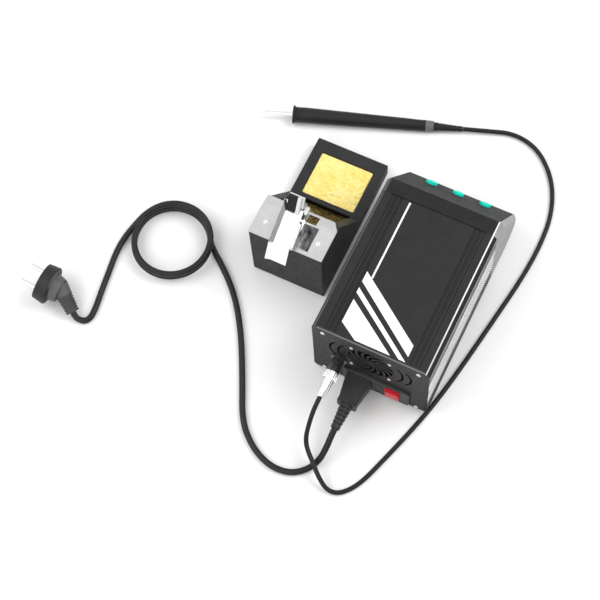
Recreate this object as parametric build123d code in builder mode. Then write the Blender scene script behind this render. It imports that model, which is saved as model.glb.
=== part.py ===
"""Soldering iron station: control unit, tool stand, iron, iron cord and power cord.

Frame: origin on the bench under the centre of the control unit, +Z up, +X to the right of a
person in front of the buttons, +Y to the rear panel.  Millimetres.
"""
import math
import os

from build123d import *

os.makedirs("parts", exist_ok=True)

# ---------------------------------------------------------------- driving dimensions
# control unit
CASE_WIDTH = 123.0
CASE_TOP = 106.0
CASE_REAR = 87.0            # rear face of the rear panel
CASE_SEAM = -71.0           # joint between the extruded case and the front bezel
FOOT_HEIGHT = 4.0
WALL = 3.0
REAR_PANEL_THICKNESS = 3.0
TRAY_SPLIT = 40.0           # height where the cover meets the lower tray
TOP_CHAMFER = 4.4
COVER_BOSS = 4.2            # radius of the screw bosses
TRAY_BOSS = 3.6
BOTTOM_CHAMFER = 3.5
TOP_PANEL_WIDTH = 75.0
SKIN = 0.8                  # thickness of the printed panels
GROOVE_WIDTH = 1.2
GROOVE_DEPTH = 0.7
GROOVE_PITCH = 3.4
TOP_GROOVES = (1.0, 2.7, 5.7, 7.7, 11.1)  # out from the top panel's edges
TOP_GROOVE_WIDTH = 0.9
SIDE_GROOVES = 4            # above each side panel
SIDE_GROOVE_START = 2.4     # from the side panel's edge to the first groove
EDGE_GROOVE_DOWN = 7.0      # the last groove below the case's top
SIDE_PANEL_LOW = 41.0
SIDE_PANEL_HIGH = 67.0
FIT = 0.1                   # clearance round a piece that drops into a recess

# sloped front
SLOPE_TOP_Y = -87.0
SLOPE_FOOT_Y = -135.5
SLOPE_FOOT_Z = 33.0
CHEEK = 4.0
CHEEK_EDGE = 0.8            # left square at the cheek's rim
BUTTON_DIAMETER = 12.0
BUTTON_PITCH = 29.5
BUTTON_DOWN = 66.0          # from the slope's top edge
BUTTON_PROUD = 3.0
BUTTON_TRAVEL = 1.2
RUNNING_FIT = 0.08          # radial
WINDOW_WIDTH = 72.0
WINDOW_HEIGHT = 32.0
WINDOW_DOWN = 39.0          # centre, from the slope's top edge
WINDOW_THICKNESS = 2.0

# rear panel
FAN_SIZE = 50.0
FAN_PITCH = 40.0
FAN_DEPTH = 15.0
FAN_DOWN = 34.8              # from the case's top to the fan's axis
FAN_Z = CASE_TOP - FAN_DOWN
FAN_BORE = 47.0
SCREW_INSET = 11.5          # from the case's sides
SCREW_X = CASE_WIDTH / 2 - SCREW_INSET
SCREW_LOW = 8.3
SCREW_DOWN = 8.0            # from the case's top
SCREW_HIGH = CASE_TOP - SCREW_DOWN
SCREW_DIAMETER = 3.0
SCREW_FIT = 0.05            # radial
SCREW_HEAD = 4.6
SCREW_HEAD_HEIGHT = 0.8
INLET_X = 10.4
INLET_Z = 23.0
MODULE_LEFT = -43.0         # the inlet module's ends along X
MODULE_RIGHT = 28.0
MODULE_LOW = 8.0
MODULE_HIGH = 37.0
MODULE_PROUD = 3.0
MODULE_DEPTH = 22.0
ROCKER_X = -25.0
ROCKER_WIDTH = 15.0
ROCKER_HEIGHT = 21.0
ROCKER_TILT = 8.0
PLUG_NOSE = (24.0, 16.0)
PLUG_NOSE_DEPTH = 15.0
IRON_SOCKET_X = 33.0
IRON_SOCKET_Z = 50.0
SOCKET_DIAMETER = 12.0
RING_WALL = 1.1             # knurled ring outside the socket
RING_DIAMETER = SOCKET_DIAMETER + 2 * RING_WALL

# tool stand
STAND_LEFT = 84.8
STAND_RIGHT = 165.3
STAND_REAR = 17.0
STAND_DECK = 87.6
STAND_FRONT = -140.5
STAND_FOOT = 2.0
STAND_WALL = 3.0
TRAY_TOP = 16.0
TRAY_BACK = -71.0
SPONGE_BOX = ((95.0, -127.0), (155.0, -75.5))
SPONGE_HEIGHT = 9.0
CHAMBER_LEFT = 94.0
CHAMBER_RIGHT = 156.0
CHAMBER_FLOOR = 6.0
WELL_BOX = ((102.0, -13.5), (118.0, 13.5))
WELL_DEPTH = 18.0
CLEANING_HOLE = ((106.5, -25.0), (117.5, -15.5))
PLATE_THICKNESS = 1.2
REST_LEFT = 119.0           # edges of the rest's flat floor
REST_RIGHT = 137.0
REST_SHEET = 1.0
REST_TAIL = (28.5, 71.5)    # rear lower end of the rest, y and z
REST_KNEE = (18.2, 89.6)
REST_SLOPE = 0.58           # rise over run of the upper part
REST_HEAD_Y = -16.0
REST_WING_Y = (-5.3, -20.5)  # where the near and the far wing end
REST_WING = (4.2, 3.4)      # outward and upward reach of a wing
REST_TAIL_WING = (4.4, 2.0)
HEAD_LEAN = 2.0             # rise over run of the bracket at the rest's head

# iron
IRON_X, IRON_Y = 204.5, -157.3
IRON_HEADING = 199.82       # from the front collar to the cord, degrees from +X
COLLAR_DIAMETER = 19.2
GRIP_DIAMETER = 16.8
GRIP_END_DIAMETER = 12.3
GRIP_LENGTH = 142.0
HANDLE_RING_LENGTH = 8.4
IRON_RELIEF_LENGTH = 31.0
IRON_CORD_DIAMETER = 4.7
CARTRIDGE_DIAMETER = 4.5
CARTRIDGE_INSERTED = 34.0
TIP_LENGTH = 44.7
TIP_NEEDLE = 12.0

# cords and mains plug
POWER_CORD_DIAMETER = 6.4
COIL_CENTRE = (252.5, 29.0)
COIL_RADIUS = 39.6
COIL_HEIGHT = 21.2
PLUG_DIAMETER = 41.4
PLUG_FACE_DIAMETER = 38.4
PLUG_BODY_LENGTH = 13.0
PLUG_HEADING = -1.6
PLUG_PITCH = -10.0
PLUG_BACK = (336.0, 131.2, 21.6)
PIN_PITCH = 19.0
PIN_DIAMETER = 4.8
PIN_LENGTH = 19.0

IRON_CORD_ROUTE = [
    (33, 131.3, 50), (33, 141, 50), (33, 151, 43.5), (33, 158.5, 32.5), (32.6, 165.5, 21),
    (28, 173.5, 15.5), (16, 184.5, 15.5), (5, 194.5, 11), (-7, 201.0, 3), (-20, 198, 2.5),
    (-33, 181, 2.5), (-43.5, 149, 2.5), (-55, 112, 2.5), (-66, 70, 2.5), (-74.5, 21, 2.5),
    (-82, -30, 2.5), (-90, -84, 2.5), (-93, -128, 2.5), (-90, -167, 2.5), (-76, -203, 2.5),
    (-49, -231, 2.5), (-18, -238.5, 2.7), (11, -227.2, 4.6), (33.65, -218.95, 5.3)]
POWER_CORD_ROUTE = [
    (10.4, 146, 23), (10.4, 154, 23), (10.4, 165, 17), (12.6, 177, 6.5), (19.6, 190, 3.3),
    (34, 201, 3.3), (55, 202.5, 3.3), (78, 193, 3.3), (100, 173, 3.3), (118, 136, 3.3),
    (142, 91, 3.3), (165, 58, 3.3), (189, 35, 3.3), (214, 14, 3.3)]
PLUG_CORD_ROUTE = [
    (283, 2, 17.8), (291, 15, 14.5), (297, 30, 9), (302, 47, 3.6), (301.5, 66, 3.3),
    (298, 86, 3.3), (295, 106, 3.3), (291.6, 124, 3.3), (290.4, 134, 3.3), (290.9, 141, 3.3),
    (294.3, 145.2, 3.3), (299.5, 146.2, 3.3), (304.2, 146.0, 4.9), (308.6, 142.9, 7.8)]

# ---------------------------------------------------------------- shared values
HALF = CASE_WIDTH / 2
CASE_LENGTH = CASE_REAR - REAR_PANEL_THICKNESS - CASE_SEAM
PANEL_INNER = CASE_REAR - REAR_PANEL_THICKNESS
BEZEL_HALF = HALF - CHEEK


def across(y):
    """The XZ plane at a given y, local axes +X and +Z; extrudes towards -Y."""
    return Plane.XZ.offset(-y)


def save(piece, name):
    """Label a finished piece and write its STEP file."""
    piece.label = name
    export_step(piece, f"parts/{name}.step")


def corner_radii(points):
    """Radius of each arc of a cord: 0.45 of the shorter run over the tangent of half the turn."""
    spots = [Vector(*point) for point in points]
    radii = []
    for before, here, after in zip(spots, spots[1:], spots[2:]):
        turn = math.radians((here - before).get_angle(after - here))
        shorter = min((here - before).length, (after - here).length)
        radii.append(0.45 * shorter / math.tan(turn / 2))
    return radii


def cord(points, diameter, name):
    """A round cord made of straight runs joined by tangent arcs."""
    radii = corner_radii(points)
    with BuildPart() as tube:
        with BuildLine():
            route = FilletPolyline(*points, radius=radii)
        with BuildSketch(Plane(origin=route @ 0, z_dir=route % 0)):
            Circle(diameter / 2)
        sweep()
    length = sum(edge.length for edge in route.edges())
    expected = math.pi * diameter**2 / 4 * length
    print(name, "radii", [round(radius) for radius in radii], "length", round(length))
    print(name, "volume over section times length", round(tube.part.volume / expected, 4))
    return tube.part


# ---------------------------------------------------------------- case outline
def case_outline(low, high, inset=0.0):
    """Closed outline of the extruded case between two heights, chamfered at top and bottom."""
    side = HALF - inset
    floor = FOOT_HEIGHT + inset
    roof = CASE_TOP - inset
    points = []
    if low <= FOOT_HEIGHT:
        points += [(side, floor + BOTTOM_CHAMFER), (side - BOTTOM_CHAMFER, floor)]
        points += [(BOTTOM_CHAMFER - side, floor), (-side, floor + BOTTOM_CHAMFER)]
    else:
        points += [(side, low), (-side, low)]
    if high >= CASE_TOP:
        points += [(-side, roof - TOP_CHAMFER), (TOP_CHAMFER - side, roof)]
        points += [(side - TOP_CHAMFER, roof), (side, roof - TOP_CHAMFER)]
    else:
        points += [(-side, high), (side, high)]
    return points


groove_x = [TOP_PANEL_WIDTH / 2 + out for out in TOP_GROOVES]
groove_z = [SIDE_PANEL_HIGH + SIDE_GROOVE_START + GROOVE_PITCH * i for i in range(SIDE_GROOVES)]
groove_z += [CASE_TOP - EDGE_GROOVE_DOWN]

with BuildPart() as case_cover:
    with BuildSketch(across(PANEL_INNER)):
        with BuildLine():
            Polyline(*case_outline(TRAY_SPLIT, CASE_TOP), close=True)
        make_face()
        with BuildLine():
            Polyline(*case_outline(TRAY_SPLIT - 1, CASE_TOP, WALL), close=True)
        make_face(mode=Mode.SUBTRACT)
        with Locations((-SCREW_X, SCREW_HIGH), (SCREW_X, SCREW_HIGH)):
            Circle(COVER_BOSS)
            with Locations((0, (CASE_TOP - WALL - SCREW_HIGH) / 2)):
                Rectangle(2 * COVER_BOSS, CASE_TOP - WALL - SCREW_HIGH)
        with Locations((0, CASE_TOP)):
            Rectangle(TOP_PANEL_WIDTH, 2 * SKIN, mode=Mode.SUBTRACT)
        with Locations(*[(side * x, CASE_TOP) for x in groove_x for side in (-1, 1)]):
            Rectangle(TOP_GROOVE_WIDTH, 2 * GROOVE_DEPTH, mode=Mode.SUBTRACT)
        with Locations(*[(side * HALF, z) for z in groove_z for side in (-1, 1)]):
            Rectangle(2 * GROOVE_DEPTH, GROOVE_WIDTH, mode=Mode.SUBTRACT)
        with Locations(*[(side * HALF, (SIDE_PANEL_LOW + SIDE_PANEL_HIGH) / 2) for side in (-1, 1)]):
            Rectangle(2 * SKIN, SIDE_PANEL_HIGH - SIDE_PANEL_LOW, mode=Mode.SUBTRACT)
    extrude(amount=CASE_LENGTH)
    with Locations(across(PANEL_INNER)):
        with Locations((-SCREW_X, SCREW_HIGH), (SCREW_X, SCREW_HIGH)):
            Hole(SCREW_DIAMETER / 2 + SCREW_FIT, depth=CASE_LENGTH)
save(case_cover.part, "case_cover")

# four feet, held by a stem and an inner button, and rows of vent holes in the tray's floor
FOOT_INSET = 20.0           # from the case's sides
FOOT_FRONT = 8.0            # behind the bezel's joint
FOOT_REAR = 17.0            # ahead of the rear face
FOOT_RADIUS = 7.0
FOOT_STEM = 2.5
FOOT_BUTTON = 3.4
FOOT_BUTTON_HEIGHT = 1.2
FOOT_CHAMFER = 0.8
VENT_PITCH = (14.0, 9.0)
VENT_COUNT = (3, 4)
VENT_RADIUS = 1.6
foot_rows = (CASE_SEAM + FOOT_FRONT, CASE_REAR - FOOT_REAR)
foot_spots = [(x, y) for x in (FOOT_INSET - HALF, HALF - FOOT_INSET) for y in foot_rows]

with BuildPart() as base_tray:
    with BuildSketch(across(PANEL_INNER)):
        with BuildLine():
            Polyline(*case_outline(FOOT_HEIGHT, TRAY_SPLIT), close=True)
        make_face()
        with BuildLine():
            Polyline(*case_outline(FOOT_HEIGHT, TRAY_SPLIT + 1, WALL), close=True)
        make_face(mode=Mode.SUBTRACT)
        with Locations((-SCREW_X, SCREW_LOW), (SCREW_X, SCREW_LOW)):
            Circle(TRAY_BOSS)
        with Locations((0, 0)):
            Rectangle(CASE_WIDTH, 2 * FOOT_HEIGHT, mode=Mode.SUBTRACT)
    extrude(amount=CASE_LENGTH)
    with Locations(across(PANEL_INNER)):
        with Locations((-SCREW_X, SCREW_LOW), (SCREW_X, SCREW_LOW)):
            Hole(SCREW_DIAMETER / 2 + SCREW_FIT, depth=CASE_LENGTH)
    with Locations(Plane.XY.offset(FOOT_HEIGHT + WALL)):
        with Locations(*foot_spots):
            Hole(FOOT_STEM, depth=WALL)
        with GridLocations(*VENT_PITCH, *VENT_COUNT):
            Hole(VENT_RADIUS, depth=WALL)
save(base_tray.part, "base_tray")

with BuildPart() as feet:
    with BuildSketch():
        with Locations(*foot_spots):
            Circle(FOOT_RADIUS)
    extrude(amount=FOOT_HEIGHT)
    with BuildSketch(Plane.XY.offset(FOOT_HEIGHT)):
        with Locations(*foot_spots):
            Circle(FOOT_STEM)
    extrude(amount=WALL)
    with BuildSketch(Plane.XY.offset(FOOT_HEIGHT + WALL)):
        with Locations(*foot_spots):
            Circle(FOOT_BUTTON)
    extrude(amount=FOOT_BUTTON_HEIGHT)
    chamfer(feet.faces().sort_by(Axis.Z).first.edges(), FOOT_CHAMFER)
save(feet.part, "feet")

with BuildPart() as top_panel:
    with BuildSketch(Plane.XY.offset(CASE_TOP - SKIN)):
        with Locations((0, (PANEL_INNER + CASE_SEAM) / 2)):
            Rectangle(TOP_PANEL_WIDTH - 2 * FIT, CASE_LENGTH - 2 * FIT)
    extrude(amount=SKIN - FIT)
save(top_panel.part, "top_panel")

for side, side_name in ((1, "right"), (-1, "left")):
    with BuildPart() as side_panel:
        with BuildSketch(Plane.YZ.offset(side * (HALF - SKIN))):
            with Locations(((PANEL_INNER + CASE_SEAM) / 2, (SIDE_PANEL_LOW + SIDE_PANEL_HIGH) / 2)):
                Rectangle(CASE_LENGTH - 2 * FIT, SIDE_PANEL_HIGH - SIDE_PANEL_LOW - 2 * FIT)
        extrude(amount=side * (SKIN - FIT))
    save(side_panel.part, f"side_panel_{side_name}")

# ---------------------------------------------------------------- rear panel and what is on it
screw_spots = [(side * SCREW_X, z) for side in (-1, 1) for z in (SCREW_LOW, SCREW_HIGH)]
fan_spots = [(dx * FAN_PITCH / 2, FAN_Z + dz * FAN_PITCH / 2) for dx in (-1, 1) for dz in (-1, 1)]
module_centre = ((MODULE_LEFT + MODULE_RIGHT) / 2, (MODULE_LOW + MODULE_HIGH) / 2)
module_size = (MODULE_RIGHT - MODULE_LEFT, MODULE_HIGH - MODULE_LOW)
MODULE_LIP = 2.0
PANEL_HOLE = SCREW_DIAMETER / 2 + 0.1
FAN_HOLE = SCREW_DIAMETER / 2 + 0.3
GRILLE_RADIUS = 24.4
GRILLE_HUB = 5.0            # radius of the grille's solid middle
GRILLE_OPENINGS = 14
GRILLE_TWIST = 34.0         # how far an opening turns on its way out, degrees
GRILLE_SHARES = (0.5, 0.76)  # part of the pitch that is open, at the middle and at the rim
SPOKE = 3.0                 # width of the fan frame's spokes
SIDE_SLOT_REACH = (34.0, 42.8)  # from the fan's axis to the far edge of a slot's arc
SIDE_SLOT_RADIUS = 24.0
SIDE_SLOT_WIDTH = 2.0
SIDE_SLOT_HALF_ANGLE = 42.0
SOCKET_NECK = 0.9           # the iron socket's thread is this much inside its body, radially

grille_pitch = 360 / GRILLE_OPENINGS


def fan_spot(radius, degrees):
    """X and Z of a spot at an angle round the fan's axis."""
    angle = math.radians(degrees)
    return (radius * math.cos(angle), FAN_Z + radius * math.sin(angle))


def swirl_edge(lead, far=False):
    """One curved side of a grille opening, from the middle outwards."""
    start, end = [share * grille_pitch if far else 0 for share in GRILLE_SHARES]
    bend = lead + start + (GRILLE_TWIST + end - start) / 4
    return ThreePointArc(fan_spot(GRILLE_HUB, lead + start), fan_spot((GRILLE_HUB + GRILLE_RADIUS) / 2, bend),
                         fan_spot(GRILLE_RADIUS, lead + GRILLE_TWIST + end))


with BuildPart() as rear_panel:
    with BuildSketch(across(CASE_REAR)):
        with BuildLine():
            Polyline(*case_outline(FOOT_HEIGHT, CASE_TOP), close=True)
        make_face()
        with Locations(*screw_spots):
            Circle(PANEL_HOLE, mode=Mode.SUBTRACT)
        with Locations(*fan_spots):
            Circle(FAN_HOLE, mode=Mode.SUBTRACT)
        with Locations(module_centre):
            Rectangle(module_size[0] - 2 * MODULE_LIP, module_size[1] - 2 * MODULE_LIP,
                      mode=Mode.SUBTRACT)
        with Locations((IRON_SOCKET_X, IRON_SOCKET_Z)):
            Circle(SOCKET_DIAMETER / 2 - SOCKET_NECK, mode=Mode.SUBTRACT)
    extrude(amount=REAR_PANEL_THICKNESS)
    # fan grille: a swirl of openings round a solid middle
    with BuildSketch(across(CASE_REAR)):
        for lead in [grille_pitch * i for i in range(GRILLE_OPENINGS)]:
            with BuildLine():
                near = swirl_edge(lead)
                far = swirl_edge(lead, True)
                Line(near @ 1, far @ 1)
                Line(far @ 0, near @ 0)
            make_face()
    extrude(amount=REAR_PANEL_THICKNESS, mode=Mode.SUBTRACT)
    # a pair of curved slots on either side of the fan
    with BuildSketch(across(CASE_REAR)):
        for side in (0, 180):
            for reach in SIDE_SLOT_REACH:
                middle = (reach - SIDE_SLOT_RADIUS) * (1 if side == 0 else -1)
                with BuildLine():
                    CenterArc((middle, FAN_Z), SIDE_SLOT_RADIUS, side - SIDE_SLOT_HALF_ANGLE,
                              2 * SIDE_SLOT_HALF_ANGLE)
                trace(line_width=SIDE_SLOT_WIDTH)
    extrude(amount=REAR_PANEL_THICKNESS, mode=Mode.SUBTRACT)
save(rear_panel.part, "rear_panel")


def pan_screws(plane, spots, length, head=SCREW_HEAD):
    """A group of pan-head screws, heads standing on the plane, shanks going down from it."""
    up = Axis(plane.origin, plane.z_dir)
    with BuildPart() as screws:
        with BuildSketch(plane):
            with Locations(*spots):
                Circle(head / 2)
        extrude(amount=SCREW_HEAD_HEIGHT)
        fillet(screws.edges().group_by(up)[-1], SCREW_HEAD_HEIGHT / 2)
        with BuildSketch(plane):
            with Locations(*spots):
                Circle(SCREW_DIAMETER / 2)
        extrude(amount=-length)
    return screws.part


outside = Plane(origin=(0, CASE_REAR, 0), x_dir=(-1, 0, 0), z_dir=(0, 1, 0))
CASE_SCREW_LENGTH = 12.0
FAN_SCREW_LENGTH = 10.0
FAN_SCREW_HEAD = 3.8
save(pan_screws(outside, [(-x, z) for x, z in screw_spots], CASE_SCREW_LENGTH), "rear_screws")
save(pan_screws(outside, [(-x, z) for x, z in fan_spots], FAN_SCREW_LENGTH, FAN_SCREW_HEAD), "fan_screws")

FAN_HUB = 10.0              # radius of the rotor's cup
FAN_TIP = 22.8
FAN_BLADES = 7
FAN_SHAFT = 1.5
FAN_BACK = 2.0              # thickness of the frame's spokes
FAN_GAP = 1.0
FAN_CORNER = 4.0
BLADE_THICKNESS = 1.4
BLADE_TWIST = 38.0

with BuildPart() as fan_frame:
    with BuildSketch(across(PANEL_INNER)):
        with Locations((0, FAN_Z)):
            RectangleRounded(FAN_SIZE, FAN_SIZE, FAN_CORNER)
            Circle(FAN_BORE / 2, mode=Mode.SUBTRACT)
            with GridLocations(FAN_PITCH, FAN_PITCH, 2, 2):
                Circle(PANEL_HOLE, mode=Mode.SUBTRACT)
    extrude(amount=FAN_DEPTH)
    with BuildSketch(across(PANEL_INNER - FAN_DEPTH + FAN_BACK)):
        with Locations((0, FAN_Z)):
            with PolarLocations(0, 4, start_angle=45):
                with Locations((FAN_BORE / 4 + 1, 0)):
                    Rectangle(FAN_BORE / 2 + 2, SPOKE)
            Circle(FAN_HUB)
            Circle(FAN_SHAFT + RUNNING_FIT, mode=Mode.SUBTRACT)
    extrude(amount=FAN_BACK)
save(fan_frame.part, "fan_frame")

rotor_back = PANEL_INNER - FAN_DEPTH + FAN_BACK + FAN_GAP
rotor_length = FAN_DEPTH - FAN_BACK - 2 * FAN_GAP
with BuildPart() as fan_rotor:
    with BuildSketch(across(rotor_back + rotor_length)):
        with Locations((0, FAN_Z)):
            Circle(FAN_HUB)
    extrude(amount=rotor_length)
    with BuildSketch(across(rotor_back)):
        with Locations((0, FAN_Z)):
            Circle(FAN_SHAFT)
    extrude(amount=FAN_GAP + FAN_BACK)
    rotor_middle = Plane(origin=(0, rotor_back + rotor_length / 2, FAN_Z), x_dir=(1, 0, 0), z_dir=(0, -1, 0))
    blade_length = FAN_TIP - FAN_HUB + 1
    with Locations(rotor_middle):
        with PolarLocations(FAN_HUB + blade_length / 2 - 1, FAN_BLADES):
            Box(blade_length, BLADE_THICKNESS, rotor_length - 1, rotation=(BLADE_TWIST, 0, 0))
save(fan_rotor.part, "fan_rotor")

# mains inlet, fuse drawer and rocker switch share one moulded housing
FUSE_X = -9.5
FUSE_WIDTH = 11.0
FUSE_HEIGHT = 20.0
FUSE_DEPTH = 12.0
SOCKET_GAP = 0.3
PIN_SPACING = 7.0
PIN_BLADE = (2.0, 4.0)
TRUNNION = 1.5
TRUNNION_LENGTH = 1.2
MODULE_CORNER = 3.0
MODULE_CHAMFER = 0.8
NOSE_CORNER = 2.0
PIN_LOW = -1.5              # outer blades below the inlet's centre, the earth blade above it
PIN_HIGH = 2.5
BLADE_SHORT = 3.0           # the blades stop this far inside the housing's face
DRAWER_PROUD = 0.4
DRAWER_GRIP = 2.0
ROCKER_PROUD = 5.4
ROCKER_DISH = 3.6
ROCKER_ROOT = -2.0
ROCKER_KEEL = -5.0
module_face = CASE_REAR + MODULE_PROUD
socket_floor = module_face - PLUG_NOSE_DEPTH
rocker_z = module_centre[1]
blade_spots = [(INLET_X - PIN_SPACING, INLET_Z + PIN_LOW), (INLET_X, INLET_Z + PIN_HIGH),
               (INLET_X + PIN_SPACING, INLET_Z + PIN_LOW)]

with BuildPart() as inlet_housing:
    with BuildSketch(across(module_face)):
        with Locations(module_centre):
            RectangleRounded(*module_size, MODULE_CORNER)
    extrude(amount=MODULE_PROUD)
    chamfer(inlet_housing.faces().sort_by(Axis.Y).last.edges(), MODULE_CHAMFER)
    with BuildSketch(across(CASE_REAR)):
        with Locations(module_centre):
            Rectangle(module_size[0] - 2 * (MODULE_LIP + FIT), module_size[1] - 2 * (MODULE_LIP + FIT))
    extrude(amount=MODULE_DEPTH)
    with BuildSketch(across(module_face)):
        with Locations((INLET_X, INLET_Z)):
            RectangleRounded(PLUG_NOSE[0] + 2 * SOCKET_GAP, PLUG_NOSE[1] + 2 * SOCKET_GAP, NOSE_CORNER)
    extrude(amount=PLUG_NOSE_DEPTH, mode=Mode.SUBTRACT)
    with BuildSketch(across(module_face)):
        with Locations((FUSE_X, rocker_z)):
            Rectangle(FUSE_WIDTH + 2 * FIT, FUSE_HEIGHT + 2 * FIT)
    extrude(amount=FUSE_DEPTH, mode=Mode.SUBTRACT)
    with BuildSketch(across(module_face)):
        with Locations((ROCKER_X, rocker_z)):
            Rectangle(ROCKER_WIDTH + 2 * SOCKET_GAP, ROCKER_HEIGHT + 4 * SOCKET_GAP)
    extrude(amount=PLUG_NOSE_DEPTH, mode=Mode.SUBTRACT)
    with BuildSketch(Plane.YZ.offset(ROCKER_X)):
        with Locations((CASE_REAR, rocker_z)):
            Circle(TRUNNION + RUNNING_FIT)
    extrude(amount=ROCKER_WIDTH / 2 + TRUNNION_LENGTH + SOCKET_GAP, both=True, mode=Mode.SUBTRACT)
save(inlet_housing.part, "inlet_housing")

with BuildPart() as inlet_pins:
    with BuildSketch(across(socket_floor)):
        with Locations(*blade_spots):
            Rectangle(*PIN_BLADE)
    extrude(amount=BLADE_SHORT - PLUG_NOSE_DEPTH)
save(inlet_pins.part, "inlet_pins")

with BuildPart() as fuse_drawer:
    with BuildSketch(across(module_face + DRAWER_PROUD)):
        with Locations((FUSE_X, rocker_z)):
            Rectangle(FUSE_WIDTH, FUSE_HEIGHT)
    extrude(amount=FUSE_DEPTH + DRAWER_PROUD)
    with BuildSketch(across(module_face + DRAWER_PROUD)):
        with Locations((FUSE_X, rocker_z - FUSE_HEIGHT / 2 + DRAWER_GRIP)):
            Rectangle(FUSE_WIDTH / 2, DRAWER_GRIP)
    extrude(amount=DRAWER_GRIP / 2, mode=Mode.SUBTRACT)
save(fuse_drawer.part, "fuse_drawer")

rocker_plane = Plane(origin=(ROCKER_X, CASE_REAR, rocker_z), x_dir=(0, 1, 0), z_dir=(1, 0, 0))
with BuildPart() as rocker_switch:
    half = ROCKER_HEIGHT / 2
    with BuildSketch(rocker_plane.rotated((-ROCKER_TILT, 0, 0))):
        with BuildLine():
            Polyline((ROCKER_PROUD, half - 0.4), (ROCKER_DISH, 0), (ROCKER_PROUD, 0.4 - half),
                     (ROCKER_ROOT, 1.4 - half), (ROCKER_KEEL, 0), (ROCKER_ROOT, half - 1.4), close=True)
        make_face()
    extrude(amount=ROCKER_WIDTH / 2, both=True)
    with BuildSketch(rocker_plane):
        Circle(TRUNNION)
    extrude(amount=ROCKER_WIDTH / 2 + TRUNNION_LENGTH, both=True)
save(rocker_switch.part, "rocker_switch")

# round socket for the iron, its nut inside the panel
SOCKET_REACH = 19.0
SOCKET_RIM = 2.2            # reach of the socket's flange
SOCKET_FLANGE = SOCKET_DIAMETER + 2 * SOCKET_RIM
SOCKET_FLANGE_THICKNESS = 1.6
SOCKET_WALL = 1.3
SOCKET_BORE = SOCKET_DIAMETER / 2 - SOCKET_WALL
SOCKET_INSIDE = 12.0
NUT_THICKNESS = 3.4
NUT_WALL = 1.8
THREAD_FIT = 0.02
socket_end = CASE_REAR + SOCKET_REACH
socket_axis = Plane(origin=(IRON_SOCKET_X, CASE_REAR, IRON_SOCKET_Z), x_dir=(1, 0, 0), z_dir=(0, 1, 0))
socket_root = SOCKET_DIAMETER / 2 - SOCKET_NECK - FIT

with BuildPart() as iron_socket:
    with BuildSketch(socket_axis):
        Circle(SOCKET_FLANGE / 2)
    extrude(amount=SOCKET_FLANGE_THICKNESS)
    with BuildSketch(socket_axis):
        Circle(SOCKET_DIAMETER / 2)
    extrude(amount=SOCKET_REACH)
    with BuildSketch(socket_axis):
        Circle(socket_root)
    extrude(amount=-SOCKET_INSIDE)
    with BuildSketch(socket_axis.offset(SOCKET_FLANGE_THICKNESS)):
        Circle(SOCKET_BORE)
    extrude(amount=SOCKET_REACH, mode=Mode.SUBTRACT)
save(iron_socket.part, "iron_socket")

with BuildPart() as socket_nut:
    with BuildSketch(across(PANEL_INNER)):
        with Locations((IRON_SOCKET_X, IRON_SOCKET_Z)):
            RegularPolygon(socket_root + NUT_WALL, 6, rotation=30)
            Circle(socket_root + THREAD_FIT, mode=Mode.SUBTRACT)
    extrude(amount=NUT_THICKNESS)
save(socket_nut.part, "socket_nut")

# ---------------------------------------------------------------- front bezel
BELLY_START = -111.0         # where the bezel's underside leaves the level, y
BELLY = [(-126.0, 9.0), (-134.0, 17.0)]
slope = Vector(0, SLOPE_FOOT_Y - SLOPE_TOP_Y, SLOPE_FOOT_Z - CASE_TOP)
slope_length = slope.length
slope_normal = slope.cross(Vector(1, 0, 0)).normalized()
slope_plane = Plane(origin=(0, SLOPE_TOP_Y, CASE_TOP), x_dir=(1, 0, 0), z_dir=slope_normal)
front_outline = [(CASE_SEAM, FOOT_HEIGHT), (BELLY_START, FOOT_HEIGHT), *BELLY,
                 (SLOPE_FOOT_Y, SLOPE_FOOT_Z), (SLOPE_TOP_Y, CASE_TOP), (CASE_SEAM, CASE_TOP)]
button_spots = [(BUTTON_PITCH * i, -BUTTON_DOWN) for i in (1, 0, -1)]
window_spot = (0, -WINDOW_DOWN)
BOARD_THICKNESS = 1.6
DISPLAY_BOARD_DEPTH = 9.0   # top of the display board below the slope
BUTTON_BOARD_DEPTH = 9.6
DISPLAY_BOARD_HEIGHT = 38.0
BUTTON_BOARD_HEIGHT = 13.0
POST = 2.5
POST_INSET = 4.0
POST_GAP = 0.8              # between a button's flange and the nearest post
WINDOW_LEDGE = 2.0
WINDOW_SINK = 0.1
DISPLAY_BORDER = 3.0
DISPLAY_GAP = 0.3
BUTTON_FLANGE = 1.2         # thickness, and reach beyond the cap
post_x = BUTTON_PITCH + BUTTON_DIAMETER / 2 + BUTTON_FLANGE + POST_GAP + POST
BOARD_LENGTH = 2 * (post_x + POST_INSET)
post_y = DISPLAY_BOARD_HEIGHT / 2 - POST_INSET
display_posts = [(dx * post_x, dy * post_y - WINDOW_DOWN) for dx in (-1, 1) for dy in (-1, 1)]
button_posts = [(dx * post_x, -BUTTON_DOWN) for dx in (-1, 1)]

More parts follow.
